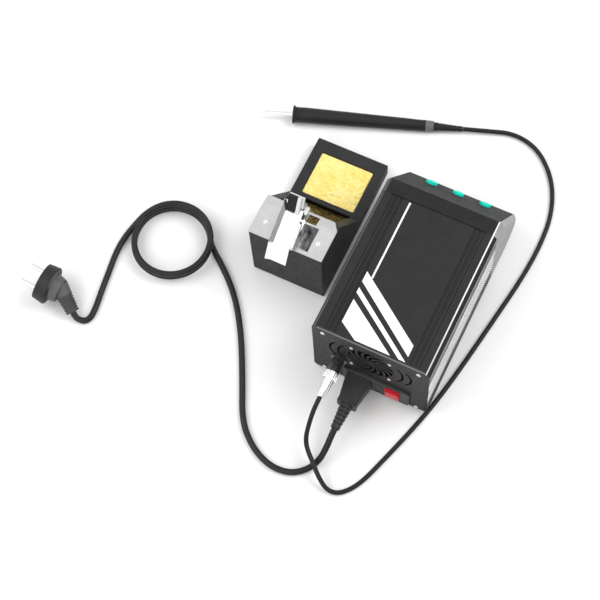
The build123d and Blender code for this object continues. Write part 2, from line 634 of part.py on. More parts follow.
with BuildPart() as front_bezel:
    with BuildSketch(Plane.YZ):
        with BuildLine():
            Polyline(*front_outline, close=True)
        make_face()
    extrude(amount=BEZEL_HALF, both=True)
    offset(amount=-WALL, openings=front_bezel.faces().sort_by(Axis.Y).last)
    with BuildSketch(slope_plane):
        with Locations(window_spot):
            Rectangle(WINDOW_WIDTH, WINDOW_HEIGHT)
    extrude(amount=-WINDOW_THICKNESS, mode=Mode.SUBTRACT)
    with BuildSketch(slope_plane):
        with Locations(window_spot):
            Rectangle(WINDOW_WIDTH - 2 * WINDOW_LEDGE, WINDOW_HEIGHT - 2 * WINDOW_LEDGE)
        with Locations(*button_spots):
            Circle(BUTTON_DIAMETER / 2 + RUNNING_FIT)
    extrude(amount=-WALL - 1, mode=Mode.SUBTRACT)
    with BuildSketch(slope_plane.offset(-WALL)):
        with Locations(*display_posts):
            Circle(POST)
    extrude(amount=WALL - DISPLAY_BOARD_DEPTH)
    with BuildSketch(slope_plane.offset(-WALL)):
        with Locations(*button_posts):
            Circle(POST)
    extrude(amount=WALL - BUTTON_BOARD_DEPTH)
save(front_bezel.part, "front_bezel")

for side, side_name in ((1, "right"), (-1, "left")):
    with BuildPart() as cheek:
        with BuildSketch(Plane.YZ.offset(side * BEZEL_HALF)):
            with BuildLine():
                Polyline(*front_outline, close=True)
            make_face()
        extrude(amount=side * CHEEK)
        outer_face = cheek.faces().sort_by(Axis.X)[-1 if side > 0 else 0]
        chamfer(outer_face.edges().sort_by(Axis.Y)[:-1], CHEEK - CHEEK_EDGE)
    save(cheek.part, f"cheek_{side_name}")

with BuildPart() as display_window:
    with BuildSketch(slope_plane.offset(-WINDOW_SINK)):
        with Locations(window_spot):
            Rectangle(WINDOW_WIDTH - 2 * FIT, WINDOW_HEIGHT - 2 * FIT)
    extrude(amount=WINDOW_SINK - WINDOW_THICKNESS)
save(display_window.part, "display_window")

with BuildPart() as display_board:
    with BuildSketch(slope_plane.offset(-DISPLAY_BOARD_DEPTH)):
        with Locations(window_spot):
            Rectangle(BOARD_LENGTH, DISPLAY_BOARD_HEIGHT)
    extrude(amount=-BOARD_THICKNESS)
    with BuildSketch(slope_plane.offset(-DISPLAY_BOARD_DEPTH)):
        with Locations(window_spot):
            Rectangle(WINDOW_WIDTH - 2 * DISPLAY_BORDER, WINDOW_HEIGHT - 2 * DISPLAY_BORDER)
    extrude(amount=DISPLAY_BOARD_DEPTH - WINDOW_THICKNESS - DISPLAY_GAP)
save(display_board.part, "display_board")

BUTTON_ROUND = 1.2
BUTTON_GAP = 0.3
SWITCH_SIZE = 6.0
flange_top = WALL + BUTTON_GAP
switch_top = flange_top + BUTTON_FLANGE + BUTTON_TRAVEL + BUTTON_GAP
with BuildPart() as button_board:
    with BuildSketch(slope_plane.offset(-BUTTON_BOARD_DEPTH)):
        with Locations((0, -BUTTON_DOWN)):
            Rectangle(BOARD_LENGTH, BUTTON_BOARD_HEIGHT)
    extrude(amount=-BOARD_THICKNESS)
    with BuildSketch(slope_plane.offset(-BUTTON_BOARD_DEPTH)):
        with Locations(*button_spots):
            Rectangle(SWITCH_SIZE, SWITCH_SIZE)
    extrude(amount=BUTTON_BOARD_DEPTH - switch_top)
save(button_board.part, "button_board")

for number, spot in enumerate(button_spots, 1):
    with BuildPart() as button:
        with BuildSketch(slope_plane.offset(BUTTON_PROUD)):
            with Locations(spot):
                Circle(BUTTON_DIAMETER / 2)
        extrude(amount=-BUTTON_PROUD - flange_top)
        fillet(button.edges().group_by(Axis(slope_plane.origin, slope_normal))[-1], BUTTON_ROUND)
        with BuildSketch(slope_plane.offset(-flange_top)):
            with Locations(spot):
                Circle(BUTTON_DIAMETER / 2 + BUTTON_FLANGE)
        extrude(amount=-BUTTON_FLANGE)
    save(button.part, f"button_{number}")

# ---------------------------------------------------------------- boards inside the case
STANDOFF = 6.0
tray_floor = FOOT_HEIGHT + WALL
board_bottom = tray_floor + STANDOFF
board_top = board_bottom + BOARD_THICKNESS
BOARD_SIZE = (90.0, 100.0)
BOARD_Y = -6.0
BOARD_HOLE_INSET = 5.0
STANDOFF_RADIUS = 3.0
STANDOFF_PIN = 1.5
board_holes = [(dx * (BOARD_SIZE[0] / 2 - BOARD_HOLE_INSET), BOARD_Y + dy * (BOARD_SIZE[1] / 2 - BOARD_HOLE_INSET))
               for dx in (-1, 1) for dy in (-1, 1)]

with BuildPart() as board_standoffs:
    with BuildSketch(Plane.XY.offset(tray_floor)):
        with Locations(*board_holes):
            Circle(STANDOFF_RADIUS)
    extrude(amount=STANDOFF)
    with BuildSketch(Plane.XY.offset(board_bottom)):
        with Locations(*board_holes):
            Circle(STANDOFF_PIN)
    extrude(amount=BOARD_THICKNESS + 1)
save(board_standoffs.part, "board_standoffs")

with BuildPart() as power_board:
    with BuildSketch(Plane.XY.offset(board_bottom)):
        with Locations((0, BOARD_Y)):
            Rectangle(*BOARD_SIZE)
        with Locations(*board_holes):
            Circle(STANDOFF_PIN + FIT, mode=Mode.SUBTRACT)
    extrude(amount=BOARD_THICKNESS)
save(power_board.part, "power_board")

TRANSFORMER_SPOT = (-18.0, -8.0)
TRANSFORMER_CORE = (34.0, 30.0)
TRANSFORMER_COIL = (28.0, 26.0)
CORE_LOW = 6.0
COIL_RISE = 18.0
CORE_HIGH = 5.0
with BuildPart() as transformer:
    with BuildSketch(Plane.XY.offset(board_top)):
        with Locations(TRANSFORMER_SPOT):
            Rectangle(*TRANSFORMER_CORE)
    extrude(amount=CORE_LOW)
    with BuildSketch(Plane.XY.offset(board_top + CORE_LOW)):
        with Locations(TRANSFORMER_SPOT):
            Rectangle(*TRANSFORMER_COIL)
    extrude(amount=COIL_RISE)
    with BuildSketch(Plane.XY.offset(board_top + CORE_LOW + COIL_RISE)):
        with Locations(TRANSFORMER_SPOT):
            Rectangle(*TRANSFORMER_CORE)
    extrude(amount=CORE_HIGH)
save(transformer.part, "transformer")

HEATSINK_SPOT = (22.0, -8.0)
HEATSINK_BACK = (4.0, 60.0)
HEATSINK_HEIGHT = 38.0
FIN_LENGTH = 10.0
FIN_THICKNESS = 2.0
FIN_PITCH = 8.0
FIN_COUNT = 8
with BuildPart() as heatsink:
    with BuildSketch(Plane.XY.offset(board_top)):
        with Locations(HEATSINK_SPOT):
            Rectangle(*HEATSINK_BACK)
            with Locations((FIN_LENGTH / 2, 0)):
                with GridLocations(FIN_LENGTH, FIN_PITCH, 1, FIN_COUNT):
                    Rectangle(FIN_LENGTH, FIN_THICKNESS)
    extrude(amount=HEATSINK_HEIGHT)
save(heatsink.part, "heatsink")

CAPACITOR_SPOTS = ((-28.0, 28.0), (-8.0, 28.0), (10.0, 30.0))
CAPACITOR_RADIUS = 8.0
CAPACITOR_HEIGHT = 28.0
CAPACITOR_CHAMFER = 1.0
with BuildPart() as capacitors:
    with BuildSketch(Plane.XY.offset(board_top)):
        with Locations(*CAPACITOR_SPOTS):
            Circle(CAPACITOR_RADIUS)
    extrude(amount=CAPACITOR_HEIGHT)
    chamfer(capacitors.faces().sort_by(Axis.Z)[-1].edges(), CAPACITOR_CHAMFER)
save(capacitors.part, "capacitors")

# ---------------------------------------------------------------- tool stand
stand_middle = (STAND_LEFT + STAND_RIGHT) / 2
stand_half = (STAND_RIGHT - STAND_LEFT) / 2
DECK_BREAK = (-18.0, STAND_DECK)     # where the deck starts to dip, y and z
DECK_LIP = (-26.0, STAND_DECK - 2.1)
deck_under = STAND_DECK - STAND_WALL
sponge_centre = ((SPONGE_BOX[0][0] + SPONGE_BOX[1][0]) / 2, (SPONGE_BOX[0][1] + SPONGE_BOX[1][1]) / 2)
sponge_size = (SPONGE_BOX[1][0] - SPONGE_BOX[0][0], SPONGE_BOX[1][1] - SPONGE_BOX[0][1])
well_centre = ((WELL_BOX[0][0] + WELL_BOX[1][0]) / 2, (WELL_BOX[0][1] + WELL_BOX[1][1]) / 2)
well_size = (WELL_BOX[1][0] - WELL_BOX[0][0], WELL_BOX[1][1] - WELL_BOX[0][1])
chamber_front = TRAY_BACK + 2.0
chamber_middle = (CHAMBER_LEFT + CHAMBER_RIGHT) / 2
chamber_half = (CHAMBER_RIGHT - CHAMBER_LEFT) / 2
hole_centre = ((CLEANING_HOLE[0][0] + CLEANING_HOLE[1][0]) / 2, (CLEANING_HOLE[0][1] + CLEANING_HOLE[1][1]) / 2)
hole_size = (CLEANING_HOLE[1][0] - CLEANING_HOLE[0][0], CLEANING_HOLE[1][1] - CLEANING_HOLE[0][1])
PLATE_SCREW_Y = 1.1
PLATE_BOSS = 3.5
PLATE_BOSS_HEIGHT = 6.0
PAD_INSET = 9.0
PAD_RADIUS = 5.0
STAND_ROUND = 1.5
SPONGE_CORNER = 2.0
SPONGE_GAP = 0.4            # all round the sponge
SPONGE_SINK = 0.9           # top of the sponge below the tray's rim
PLATE_SCREW_INSET = 2.5     # from the chamber's sides
plate_screws = [(CHAMBER_LEFT + PLATE_SCREW_INSET, PLATE_SCREW_Y), (CHAMBER_RIGHT - PLATE_SCREW_INSET, PLATE_SCREW_Y)]
stand_pads = [(x, y) for x in (STAND_LEFT + PAD_INSET, STAND_RIGHT - PAD_INSET)
              for y in (STAND_FRONT + PAD_INSET, STAND_REAR - PAD_INSET)]

with BuildPart() as stand_body:
    with BuildSketch(Plane.YZ.offset(stand_middle)):
        with BuildLine():
            Polyline((STAND_REAR, STAND_FOOT), (STAND_REAR, STAND_DECK), DECK_BREAK, DECK_LIP,
                     (TRAY_BACK, TRAY_TOP), (STAND_FRONT, TRAY_TOP), (STAND_FRONT, STAND_FOOT + 2),
                     (STAND_FRONT + 2, STAND_FOOT), close=True)
        make_face()
    extrude(amount=stand_half, both=True)
    fillet(stand_body.edges().filter_by(Axis.Z), STAND_ROUND)
    with BuildSketch(Plane.XY.offset(TRAY_TOP - SPONGE_HEIGHT - 1)):
        with Locations(sponge_centre):
            RectangleRounded(*sponge_size, SPONGE_CORNER)
    extrude(amount=SPONGE_HEIGHT + 1, mode=Mode.SUBTRACT)
    with BuildSketch(Plane.YZ.offset(chamber_middle)):
        with BuildLine():
            Polyline((STAND_REAR - STAND_WALL, CHAMBER_FLOOR), (STAND_REAR - STAND_WALL, deck_under),
                     (chamber_front, deck_under), (chamber_front, CHAMBER_FLOOR), close=True)
        make_face()
    extrude(amount=chamber_half, both=True, mode=Mode.SUBTRACT)
    with BuildSketch(Plane.XY.offset(deck_under)):
        with Locations(*plate_screws):
            Circle(PLATE_BOSS)
        with Locations(well_centre):
            Rectangle(well_size[0] + STAND_WALL, well_size[1] + STAND_WALL)
    extrude(amount=-PLATE_BOSS_HEIGHT)
    with BuildSketch(Plane.XY.offset(deck_under - PLATE_BOSS_HEIGHT)):
        with Locations(well_centre):
            Rectangle(well_size[0] + STAND_WALL, well_size[1] + STAND_WALL)
    extrude(amount=PLATE_BOSS_HEIGHT - WELL_DEPTH)
    with BuildSketch(Plane.XY.offset(STAND_DECK)):
        with Locations(well_centre):
            Rectangle(*well_size)
    extrude(amount=-WELL_DEPTH, mode=Mode.SUBTRACT)
    with BuildSketch(Plane.XY.offset(STAND_DECK)):
        with Locations(hole_centre):
            Rectangle(*hole_size)
    extrude(amount=-2 * STAND_WALL, mode=Mode.SUBTRACT)
    with Locations(Plane.XY.offset(STAND_DECK)):
        with Locations(*plate_screws):
            Hole(SCREW_DIAMETER / 2 + SCREW_FIT, depth=PLATE_BOSS_HEIGHT + 2)
save(stand_body.part, "stand_body")

with BuildPart() as stand_feet:
    with BuildSketch():
        with Locations(*stand_pads):
            Circle(PAD_RADIUS)
    extrude(amount=STAND_FOOT)
save(stand_feet.part, "stand_feet")

with BuildPart() as sponge:
    with BuildSketch(Plane.XY.offset(TRAY_TOP - SPONGE_HEIGHT - SPONGE_SINK)):
        with Locations(sponge_centre):
            RectangleRounded(sponge_size[0] - 2 * SPONGE_GAP, sponge_size[1] - 2 * SPONGE_GAP, SPONGE_CORNER)
    extrude(amount=SPONGE_HEIGHT)
    fillet(sponge.faces().sort_by(Axis.Z).last.edges(), SPONGE_SINK)
save(sponge.part, "sponge")

WOOL_HEIGHT = 26.0
WOOL_DEPTH = 46.0
WOOL_CORNER = 4.0
WOOL_GAP = 0.5
WOOL_RAKE = 18.0            # the front face slants back over this depth
with BuildPart() as brass_wool:
    with BuildSketch(Plane.XY.offset(CHAMBER_FLOOR)):
        with Locations((chamber_middle, chamber_front + WOOL_DEPTH / 2 + WOOL_GAP)):
            RectangleRounded(2 * (chamber_half - WOOL_GAP), WOOL_DEPTH, WOOL_CORNER)
    extrude(amount=WOOL_HEIGHT)
    with BuildSketch(Plane.YZ.offset(chamber_middle)):
        with BuildLine():
            Polyline((TRAY_BACK, TRAY_TOP - 2), (chamber_front + WOOL_RAKE, CHAMBER_FLOOR + WOOL_HEIGHT),
                     (TRAY_BACK, CHAMBER_FLOOR + WOOL_HEIGHT), close=True)
        make_face()
    extrude(amount=chamber_half, both=True, mode=Mode.SUBTRACT)
save(brass_wool.part, "brass_wool")

plate_top = STAND_DECK + PLATE_THICKNESS
PLATE_FRONT = (-28.0, STAND_DECK - 2.6)
PLATE_REAR = STAND_REAR + 0.3
PLATE_MARGIN = 0.2
CUT_CORNER = (7.5, 11.0)
with BuildPart() as holder_plate:
    with BuildSketch(Plane.YZ.offset(stand_middle)):
        with BuildLine():
            Polyline((PLATE_REAR, STAND_DECK), (PLATE_REAR, plate_top), (DECK_BREAK[0], plate_top),
                     (PLATE_FRONT[0], PLATE_FRONT[1] + PLATE_THICKNESS), PLATE_FRONT, DECK_BREAK,
                     close=True)
        make_face()
    extrude(amount=stand_half - PLATE_MARGIN, both=True)
    # the corner nearest the case is cut off at a slant
    with BuildSketch(Plane.XY.offset(plate_top)):
        with BuildLine():
            Polyline((STAND_LEFT - 1, PLATE_FRONT[0] - 1), (STAND_LEFT + CUT_CORNER[0], PLATE_FRONT[0] - 1),
                     (STAND_LEFT - 1, PLATE_FRONT[0] + CUT_CORNER[1]), close=True)
        make_face()
    extrude(amount=-2 * STAND_WALL, mode=Mode.SUBTRACT)
    with BuildSketch(Plane.XY.offset(plate_top)):
        with Locations(well_centre):
            Rectangle(*well_size)
        with Locations(*plate_screws):
            Circle(PANEL_HOLE)
    extrude(amount=-PLATE_THICKNESS, mode=Mode.SUBTRACT)
    with BuildSketch(Plane.XY.offset(plate_top)):
        with Locations(hole_centre):
            Rectangle(*hole_size)
    extrude(amount=-2 * STAND_WALL, mode=Mode.SUBTRACT)
save(holder_plate.part, "holder_plate")

PLATE_SCREW_LENGTH = 8.0
save(pan_screws(Plane.XY.offset(plate_top), plate_screws, PLATE_SCREW_LENGTH), "holder_screws")


def rest_height(y):
    """Height of the underside of the rest's upper part."""
    return REST_KNEE[1] + REST_SLOPE * (REST_KNEE[0] - y)


def face_normal(start, end):
    """Direction square to a run of the rest, up and to the rear."""
    run = (end - start).normalized()
    return Vector(0, run.Z, -run.Y)


WING_ROOT = 0.6             # width of a wing that lies on the floor's edge


def wing_section(edge, side, wing):
    """Outline of a flared wing on one edge of the floor: side is -1 or 1."""
    out, up = wing
    root = edge - side * WING_ROOT
    return [(root, 0), (edge, 0), (edge + side * out, up), (root + side * out, up + REST_SHEET),
            (root, REST_SHEET)]


GUSSET = 1.0                # thickness of the two side sheets under the rest
GUSSET_LEAN = 1.2           # the sheets' rear edge leans this much
knee = Vector(0, *REST_KNEE)
rest_head = Vector(0, REST_HEAD_Y, rest_height(REST_HEAD_Y))
near_end, far_end = [Vector(0, y, rest_height(y)) for y in REST_WING_Y]
rest_tail = Vector(0, *REST_TAIL)
gusset = [(REST_KNEE[0] - GUSSET_LEAN, plate_top), REST_KNEE, (rest_head.Y, rest_head.Z), (rest_head.Y, plate_top)]
upper_normal = face_normal(knee, rest_head)
lower_normal = face_normal(rest_tail, knee)
mitre = knee + (upper_normal + lower_normal) * (REST_SHEET / (1 + upper_normal.dot(lower_normal)))
floor_corners = [rest_tail, knee, rest_head, rest_head + upper_normal * REST_SHEET, mitre,
                 rest_tail + lower_normal * REST_SHEET]
rest_runs = [(knee, near_end, wing_section(REST_LEFT, -1, REST_WING)),
             (knee, far_end, wing_section(REST_RIGHT, 1, REST_WING)),
             (rest_tail, knee, wing_section(REST_RIGHT, 1, REST_TAIL_WING))]
with BuildPart() as iron_rest:
    with BuildSketch(Plane.YZ.offset(REST_LEFT)):
        with BuildLine():
            Polyline(*[(corner.Y, corner.Z) for corner in floor_corners], close=True)
        make_face()
    extrude(amount=REST_RIGHT - REST_LEFT)
    for start, end, outline in rest_runs:
        with BuildSketch(Plane(origin=start, x_dir=(1, 0, 0), z_dir=end - start)):
            with BuildLine():
                Polyline(*outline, close=True)
            make_face()
        extrude(amount=(end - start).length)
    for gusset_x in (REST_LEFT, REST_RIGHT - GUSSET):
        with BuildSketch(Plane.YZ.offset(gusset_x)):
            with BuildLine():
                Polyline(*gusset, close=True)
            make_face()
        extrude(amount=GUSSET)
save(iron_rest.part, "iron_rest")

# bracket at the rest's head: a leaning plate on a block, with a ribbed rubber pad on its face
BRACKET_LEFT = 120.3
BRACKET_RIGHT = 136.5
RIB_LEFT = 122.8
RIB_RIGHT = 126.4
PAD_LEFT = 127.6
PAD_RIGHT = 136.0
PAD_LENGTH = 20.0
PAD_THICKNESS = 3.4
BRACKET_THICKNESS = 1.8
PAD_GROOVE = 0.6            # radius
PAD_GROOVES = 4
BLOCK_LEFT = 118.0
BLOCK_RIGHT = 127.0
BLOCK_FRONT = -27.0
BLOCK_TOP = 98.0
BLOCK_HOLE = 2.2
BLOCK_SEAT = 1.7            # the block's front underside above the plate's front edge
PAD_FOOT_Y = -10.1
PAD_HEEL = 5.4              # where the pad's back starts, and below it the bracket's plate
PLATE_HEEL = 6.8
lean_up = Vector(0, -1, HEAD_LEAN).normalized()
lean_out = Vector(0, HEAD_LEAN, 1).normalized()
pad_base = Vector(0, PAD_FOOT_Y, rest_height(PAD_FOOT_Y) + 2 * REST_SHEET)
pad_top = pad_base + lean_up * PAD_LENGTH


def lean_spot(along, depth):
    """Y and Z of a spot on the leaning bracket: up from the pad's foot, and down into it."""
    spot = pad_base + lean_up * along - lean_out * depth
    return (spot.Y, spot.Z)


pad_outline = [lean_spot(0, 0), lean_spot(PAD_LENGTH, 0), lean_spot(PAD_LENGTH, PAD_THICKNESS),
               lean_spot(PAD_HEEL, PAD_THICKNESS)]
plate_back = PAD_THICKNESS + BRACKET_THICKNESS
with BuildPart() as tip_puller:
    with BuildSketch(Plane.YZ.offset(BLOCK_LEFT)):
        with BuildLine():
            Polyline((BLOCK_FRONT, PLATE_FRONT[1] + BLOCK_SEAT), (DECK_BREAK[0], plate_top),
                     (DECK_BREAK[0], BLOCK_TOP), (BLOCK_FRONT, BLOCK_TOP), close=True)
        make_face()
    extrude(amount=BLOCK_RIGHT - BLOCK_LEFT)
    with BuildSketch(Plane.YZ.offset(BRACKET_LEFT)):
        with BuildLine():
            Polyline((DECK_BREAK[0], BLOCK_TOP), lean_spot(PLATE_HEEL + 3, PAD_THICKNESS + 1),
                     lean_spot(PAD_LENGTH - 4, plate_back - 0.5), (BLOCK_FRONT + 1, BLOCK_TOP + 8),
                     (BLOCK_FRONT + 1, BLOCK_TOP), close=True)
        make_face()
    extrude(amount=2 * BRACKET_THICKNESS)
    with BuildSketch(Plane.YZ.offset(BRACKET_LEFT)):
        with BuildLine():
            Polyline(lean_spot(PLATE_HEEL, PAD_THICKNESS), lean_spot(PAD_LENGTH, PAD_THICKNESS),
                     lean_spot(PAD_LENGTH, plate_back), lean_spot(PLATE_HEEL + 1, plate_back), close=True)
        make_face()
    extrude(amount=BRACKET_RIGHT - BRACKET_LEFT)
    with BuildSketch(Plane.YZ.offset(RIB_LEFT)):
        with BuildLine():
            Polyline(*pad_outline, close=True)
        make_face()
    extrude(amount=RIB_RIGHT - RIB_LEFT)
    with BuildSketch(across(DECK_BREAK[0])):
        with Locations((BLOCK_RIGHT - 2 * BLOCK_HOLE + 1, (plate_top + BLOCK_TOP) / 2)):
            Circle(BLOCK_HOLE)
    extrude(amount=2 * BLOCK_HOLE, mode=Mode.SUBTRACT)
save(tip_puller.part, "tip_puller")

groove_pitch = (PAD_RIGHT - PAD_LEFT) / PAD_GROOVES
pad_face = Plane(origin=(PAD_LEFT, pad_base.Y, pad_base.Z), x_dir=(1, 0, 0), z_dir=lean_up)
with BuildPart() as puller_grip:
    with BuildSketch(Plane.YZ.offset(PAD_LEFT)):
        with BuildLine():
            Polyline(*pad_outline, close=True)
        make_face()
    extrude(amount=PAD_RIGHT - PAD_LEFT)
    with BuildSketch(pad_face):
        with Locations(*[(groove_pitch * (i + 0.5), 0) for i in range(PAD_GROOVES)]):
            Circle(PAD_GROOVE)
    extrude(amount=PAD_LENGTH + 1, mode=Mode.SUBTRACT)
save(puller_grip.part, "puller_grip")

# ---------------------------------------------------------------- iron
RELIEF_END = IRON_CORD_DIAMETER / 2 + 0.45
handle_length = GRIP_LENGTH + HANDLE_RING_LENGTH
dip = math.asin((COLLAR_DIAMETER - GRIP_END_DIAMETER) / 2 / GRIP_LENGTH)
heading = math.radians(IRON_HEADING)
iron_front = Vector(IRON_X, IRON_Y, COLLAR_DIAMETER / 2 + 0.1)
iron_way = Vector(math.cos(heading) * math.cos(dip), math.sin(heading) * math.cos(dip), -math.sin(dip))
iron_side = Vector(-math.sin(heading), math.cos(heading), 0)
iron_section = Plane(origin=iron_front, x_dir=iron_way, z_dir=iron_side * -1)
iron_axis = Axis(iron_front, iron_way)
COLLAR_LENGTH = 12.0
COLLAR_FLANGE = 2.0
GRIP_RADIUS = GRIP_DIAMETER / 2
GRIP_BORE = 4.6
CARTRIDGE_BORE = CARTRIDGE_DIAMETER / 2 + RUNNING_FIT


GRIP_RINGS = (129.0, 132.0, 135.0, 138.0)
COLLAR_RINGS = (4.0, 6.4, 8.8)
RING_BORE = 2.5
RING_TAPER = 0.25           # the ring's end is smaller in radius by this
RELIEF_ROOT = 4.7
RELIEF_GROOVE = (0.55, 1.3)         # depth and width
RELIEF_RING_START = 6.0
RELIEF_RING_PITCH = 3.2
RELIEF_RINGS = 7
SOCKET_BLOCK_END = 60.0
SOCKET_BLOCK_GAP = 0.5
NEEDLE_ROOT = 1.1
NEEDLE_POINT = 0.3


def turned(outline, grooves=(), depth=0.5, width=1.0):
    """A piece turned about the iron's axis from (distance, radius) points, with ring grooves."""
    with BuildPart() as piece:
        with BuildSketch(iron_section):
            with BuildLine():
                Polyline(*outline, close=True)
            make_face()
            for distance, radius in grooves:
                with Locations((distance, radius)):
                    Rectangle(width, 2 * depth, mode=Mode.SUBTRACT)
        revolve(axis=iron_axis)
    return piece.part


def grip_radius(distance):
    """Outer radius of the tapering grip at a distance from the collar's front."""
    share = (distance - COLLAR_LENGTH) / (GRIP_LENGTH - COLLAR_LENGTH)
    return GRIP_RADIUS + (GRIP_END_DIAMETER / 2 - GRIP_RADIUS) * share


handle_collar = turned(
    [(0, CARTRIDGE_BORE), (0, COLLAR_DIAMETER / 2), (COLLAR_FLANGE, COLLAR_DIAMETER / 2),
     (COLLAR_FLANGE, GRIP_RADIUS), (COLLAR_LENGTH, GRIP_RADIUS), (COLLAR_LENGTH, CARTRIDGE_BORE)],
    [(distance, GRIP_RADIUS) for distance in COLLAR_RINGS])
save(handle_collar, "handle_collar")

handle_grip = turned(
    [(COLLAR_LENGTH, GRIP_BORE), (COLLAR_LENGTH, GRIP_RADIUS), (GRIP_LENGTH, grip_radius(GRIP_LENGTH)),
     (GRIP_LENGTH, GRIP_BORE)],
    [(distance, grip_radius(distance)) for distance in GRIP_RINGS])
save(handle_grip, "handle_grip")

handle_ring = turned(
    [(GRIP_LENGTH, RING_BORE), (GRIP_LENGTH, GRIP_END_DIAMETER / 2),
     (handle_length, GRIP_END_DIAMETER / 2 - RING_TAPER), (handle_length, RING_BORE)])
save(handle_ring, "handle_ring")

relief_end = handle_length + IRON_RELIEF_LENGTH
relief_rings = [RELIEF_RING_START + RELIEF_RING_PITCH * i for i in range(RELIEF_RINGS)]
relief_taper = (RELIEF_ROOT - RELIEF_END) / IRON_RELIEF_LENGTH
handle_relief = turned(
    [(handle_length, 0), (handle_length, RELIEF_ROOT), (relief_end, RELIEF_END), (relief_end, 0)],
    [(handle_length + ring, RELIEF_ROOT - relief_taper * ring) for ring in relief_rings], *RELIEF_GROOVE)
save(handle_relief, "handle_relief")

cartridge_socket = turned(
    [(COLLAR_LENGTH, CARTRIDGE_BORE), (COLLAR_LENGTH, GRIP_BORE - FIT), (SOCKET_BLOCK_END, GRIP_BORE - FIT),
     (SOCKET_BLOCK_END, 0), (CARTRIDGE_INSERTED + SOCKET_BLOCK_GAP, 0),
     (CARTRIDGE_INSERTED + SOCKET_BLOCK_GAP, CARTRIDGE_BORE)])
save(cartridge_socket, "cartridge_socket")

shaft = CARTRIDGE_DIAMETER / 2
tip_cartridge = turned(
    [(CARTRIDGE_INSERTED, 0), (CARTRIDGE_INSERTED, shaft), (TIP_NEEDLE + 2 - TIP_LENGTH, shaft),
     (TIP_NEEDLE - 1 - TIP_LENGTH, NEEDLE_ROOT), (-TIP_LENGTH, NEEDLE_POINT), (-TIP_LENGTH, 0)])
save(tip_cartridge, "tip_cartridge")

# ---------------------------------------------------------------- iron connector and cord
SHOULDER_STEP = 0.2         # the connector's shoulder is this much inside the socket's outside
CONNECTOR_SHOULDER = SOCKET_DIAMETER - 2 * SHOULDER_STEP
CONNECTOR_NOSE = SOCKET_BORE - FIT
SLEEVE_START = 25.0
SLEEVE_END = 44.3
SLEEVE_RADII = (5.4, 4.9, 3.5, 3.1)
SLEEVE_STRAIGHT = 11.0
SLEEVE_TIP = 2.0
with BuildPart() as iron_connector:
    with BuildSketch(Plane(origin=socket_axis.origin, x_dir=(0, 1, 0), z_dir=(1, 0, 0))):
        with BuildLine():
            Polyline((SOCKET_FLANGE_THICKNESS, 0), (SOCKET_FLANGE_THICKNESS, CONNECTOR_NOSE),
                     (SOCKET_REACH, CONNECTOR_NOSE), (SOCKET_REACH, CONNECTOR_SHOULDER / 2),
                     (SLEEVE_START, CONNECTOR_SHOULDER / 2), (SLEEVE_START, SLEEVE_RADII[0]),
                     (SLEEVE_START + SLEEVE_STRAIGHT, SLEEVE_RADII[1]),
                     (SLEEVE_END - SLEEVE_TIP, SLEEVE_RADII[2]), (SLEEVE_END, SLEEVE_RADII[3]),
                     (SLEEVE_END, 0), close=True)
        make_face()
    revolve(axis=Axis(socket_axis.origin, (0, 1, 0)))
save(iron_connector.part, "iron_connector")

RING_START = 16.6
KNURLS = 24
KNURL_RADIUS = 0.6
with BuildPart() as connector_ring:
    with BuildSketch(socket_axis.offset(RING_START)):
        Circle(RING_DIAMETER / 2)
        Circle(SOCKET_DIAMETER / 2 + RUNNING_FIT, mode=Mode.SUBTRACT)
        with PolarLocations(RING_DIAMETER / 2, KNURLS):
            Circle(KNURL_RADIUS, mode=Mode.SUBTRACT)
    extrude(amount=SLEEVE_START - RING_START)
save(connector_ring.part, "connector_ring")

iron_cord = cord(IRON_CORD_ROUTE, IRON_CORD_DIAMETER, "iron_cord")
save(iron_cord, "iron_cord")

# ---------------------------------------------------------------- mains connector and cord
CONNECTOR_LENGTH = 30.0
CONNECTOR_FACE = (27.6, 20.0)
CONNECTOR_BACK = (18.4, 15.0)
CONNECTOR_CORNER = 3.0
COLLAR_BLOCK = (20.0, 16.8)         # the thicker collar at the connector's end
COLLAR_BLOCK_LENGTH = 4.0
BLADE_CLEARANCE = 0.3
MAINS_RELIEF_RADII = (6.6, 4.6)
connector_end = module_face + CONNECTOR_LENGTH
with BuildPart() as mains_connector:
    with BuildSketch(across(module_face)):
        with Locations((INLET_X, INLET_Z)):
            RectangleRounded(*CONNECTOR_FACE, CONNECTOR_CORNER)
    with BuildSketch(across(connector_end)):
        with Locations((INLET_X, INLET_Z)):
            RectangleRounded(*CONNECTOR_BACK, CONNECTOR_CORNER)
    loft()
    with BuildSketch(across(connector_end)):
        with Locations((INLET_X, INLET_Z)):
            RectangleRounded(*COLLAR_BLOCK, CONNECTOR_CORNER)
    extrude(amount=COLLAR_BLOCK_LENGTH)
    with BuildSketch(across(module_face)):
        with Locations((INLET_X, INLET_Z)):
            RectangleRounded(*PLUG_NOSE, NOSE_CORNER)
    extrude(amount=PLUG_NOSE_DEPTH - 2 * FIT)
    with BuildSketch(across(socket_floor)):
        with Locations(*blade_spots):
            Rectangle(PIN_BLADE[0] + BLADE_CLEARANCE, PIN_BLADE[1] + BLADE_CLEARANCE)
    extrude(amount=-(PLUG_NOSE_DEPTH - BLADE_SHORT + BLADE_CLEARANCE), mode=Mode.SUBTRACT)
save(mains_connector.part, "mains_connector")


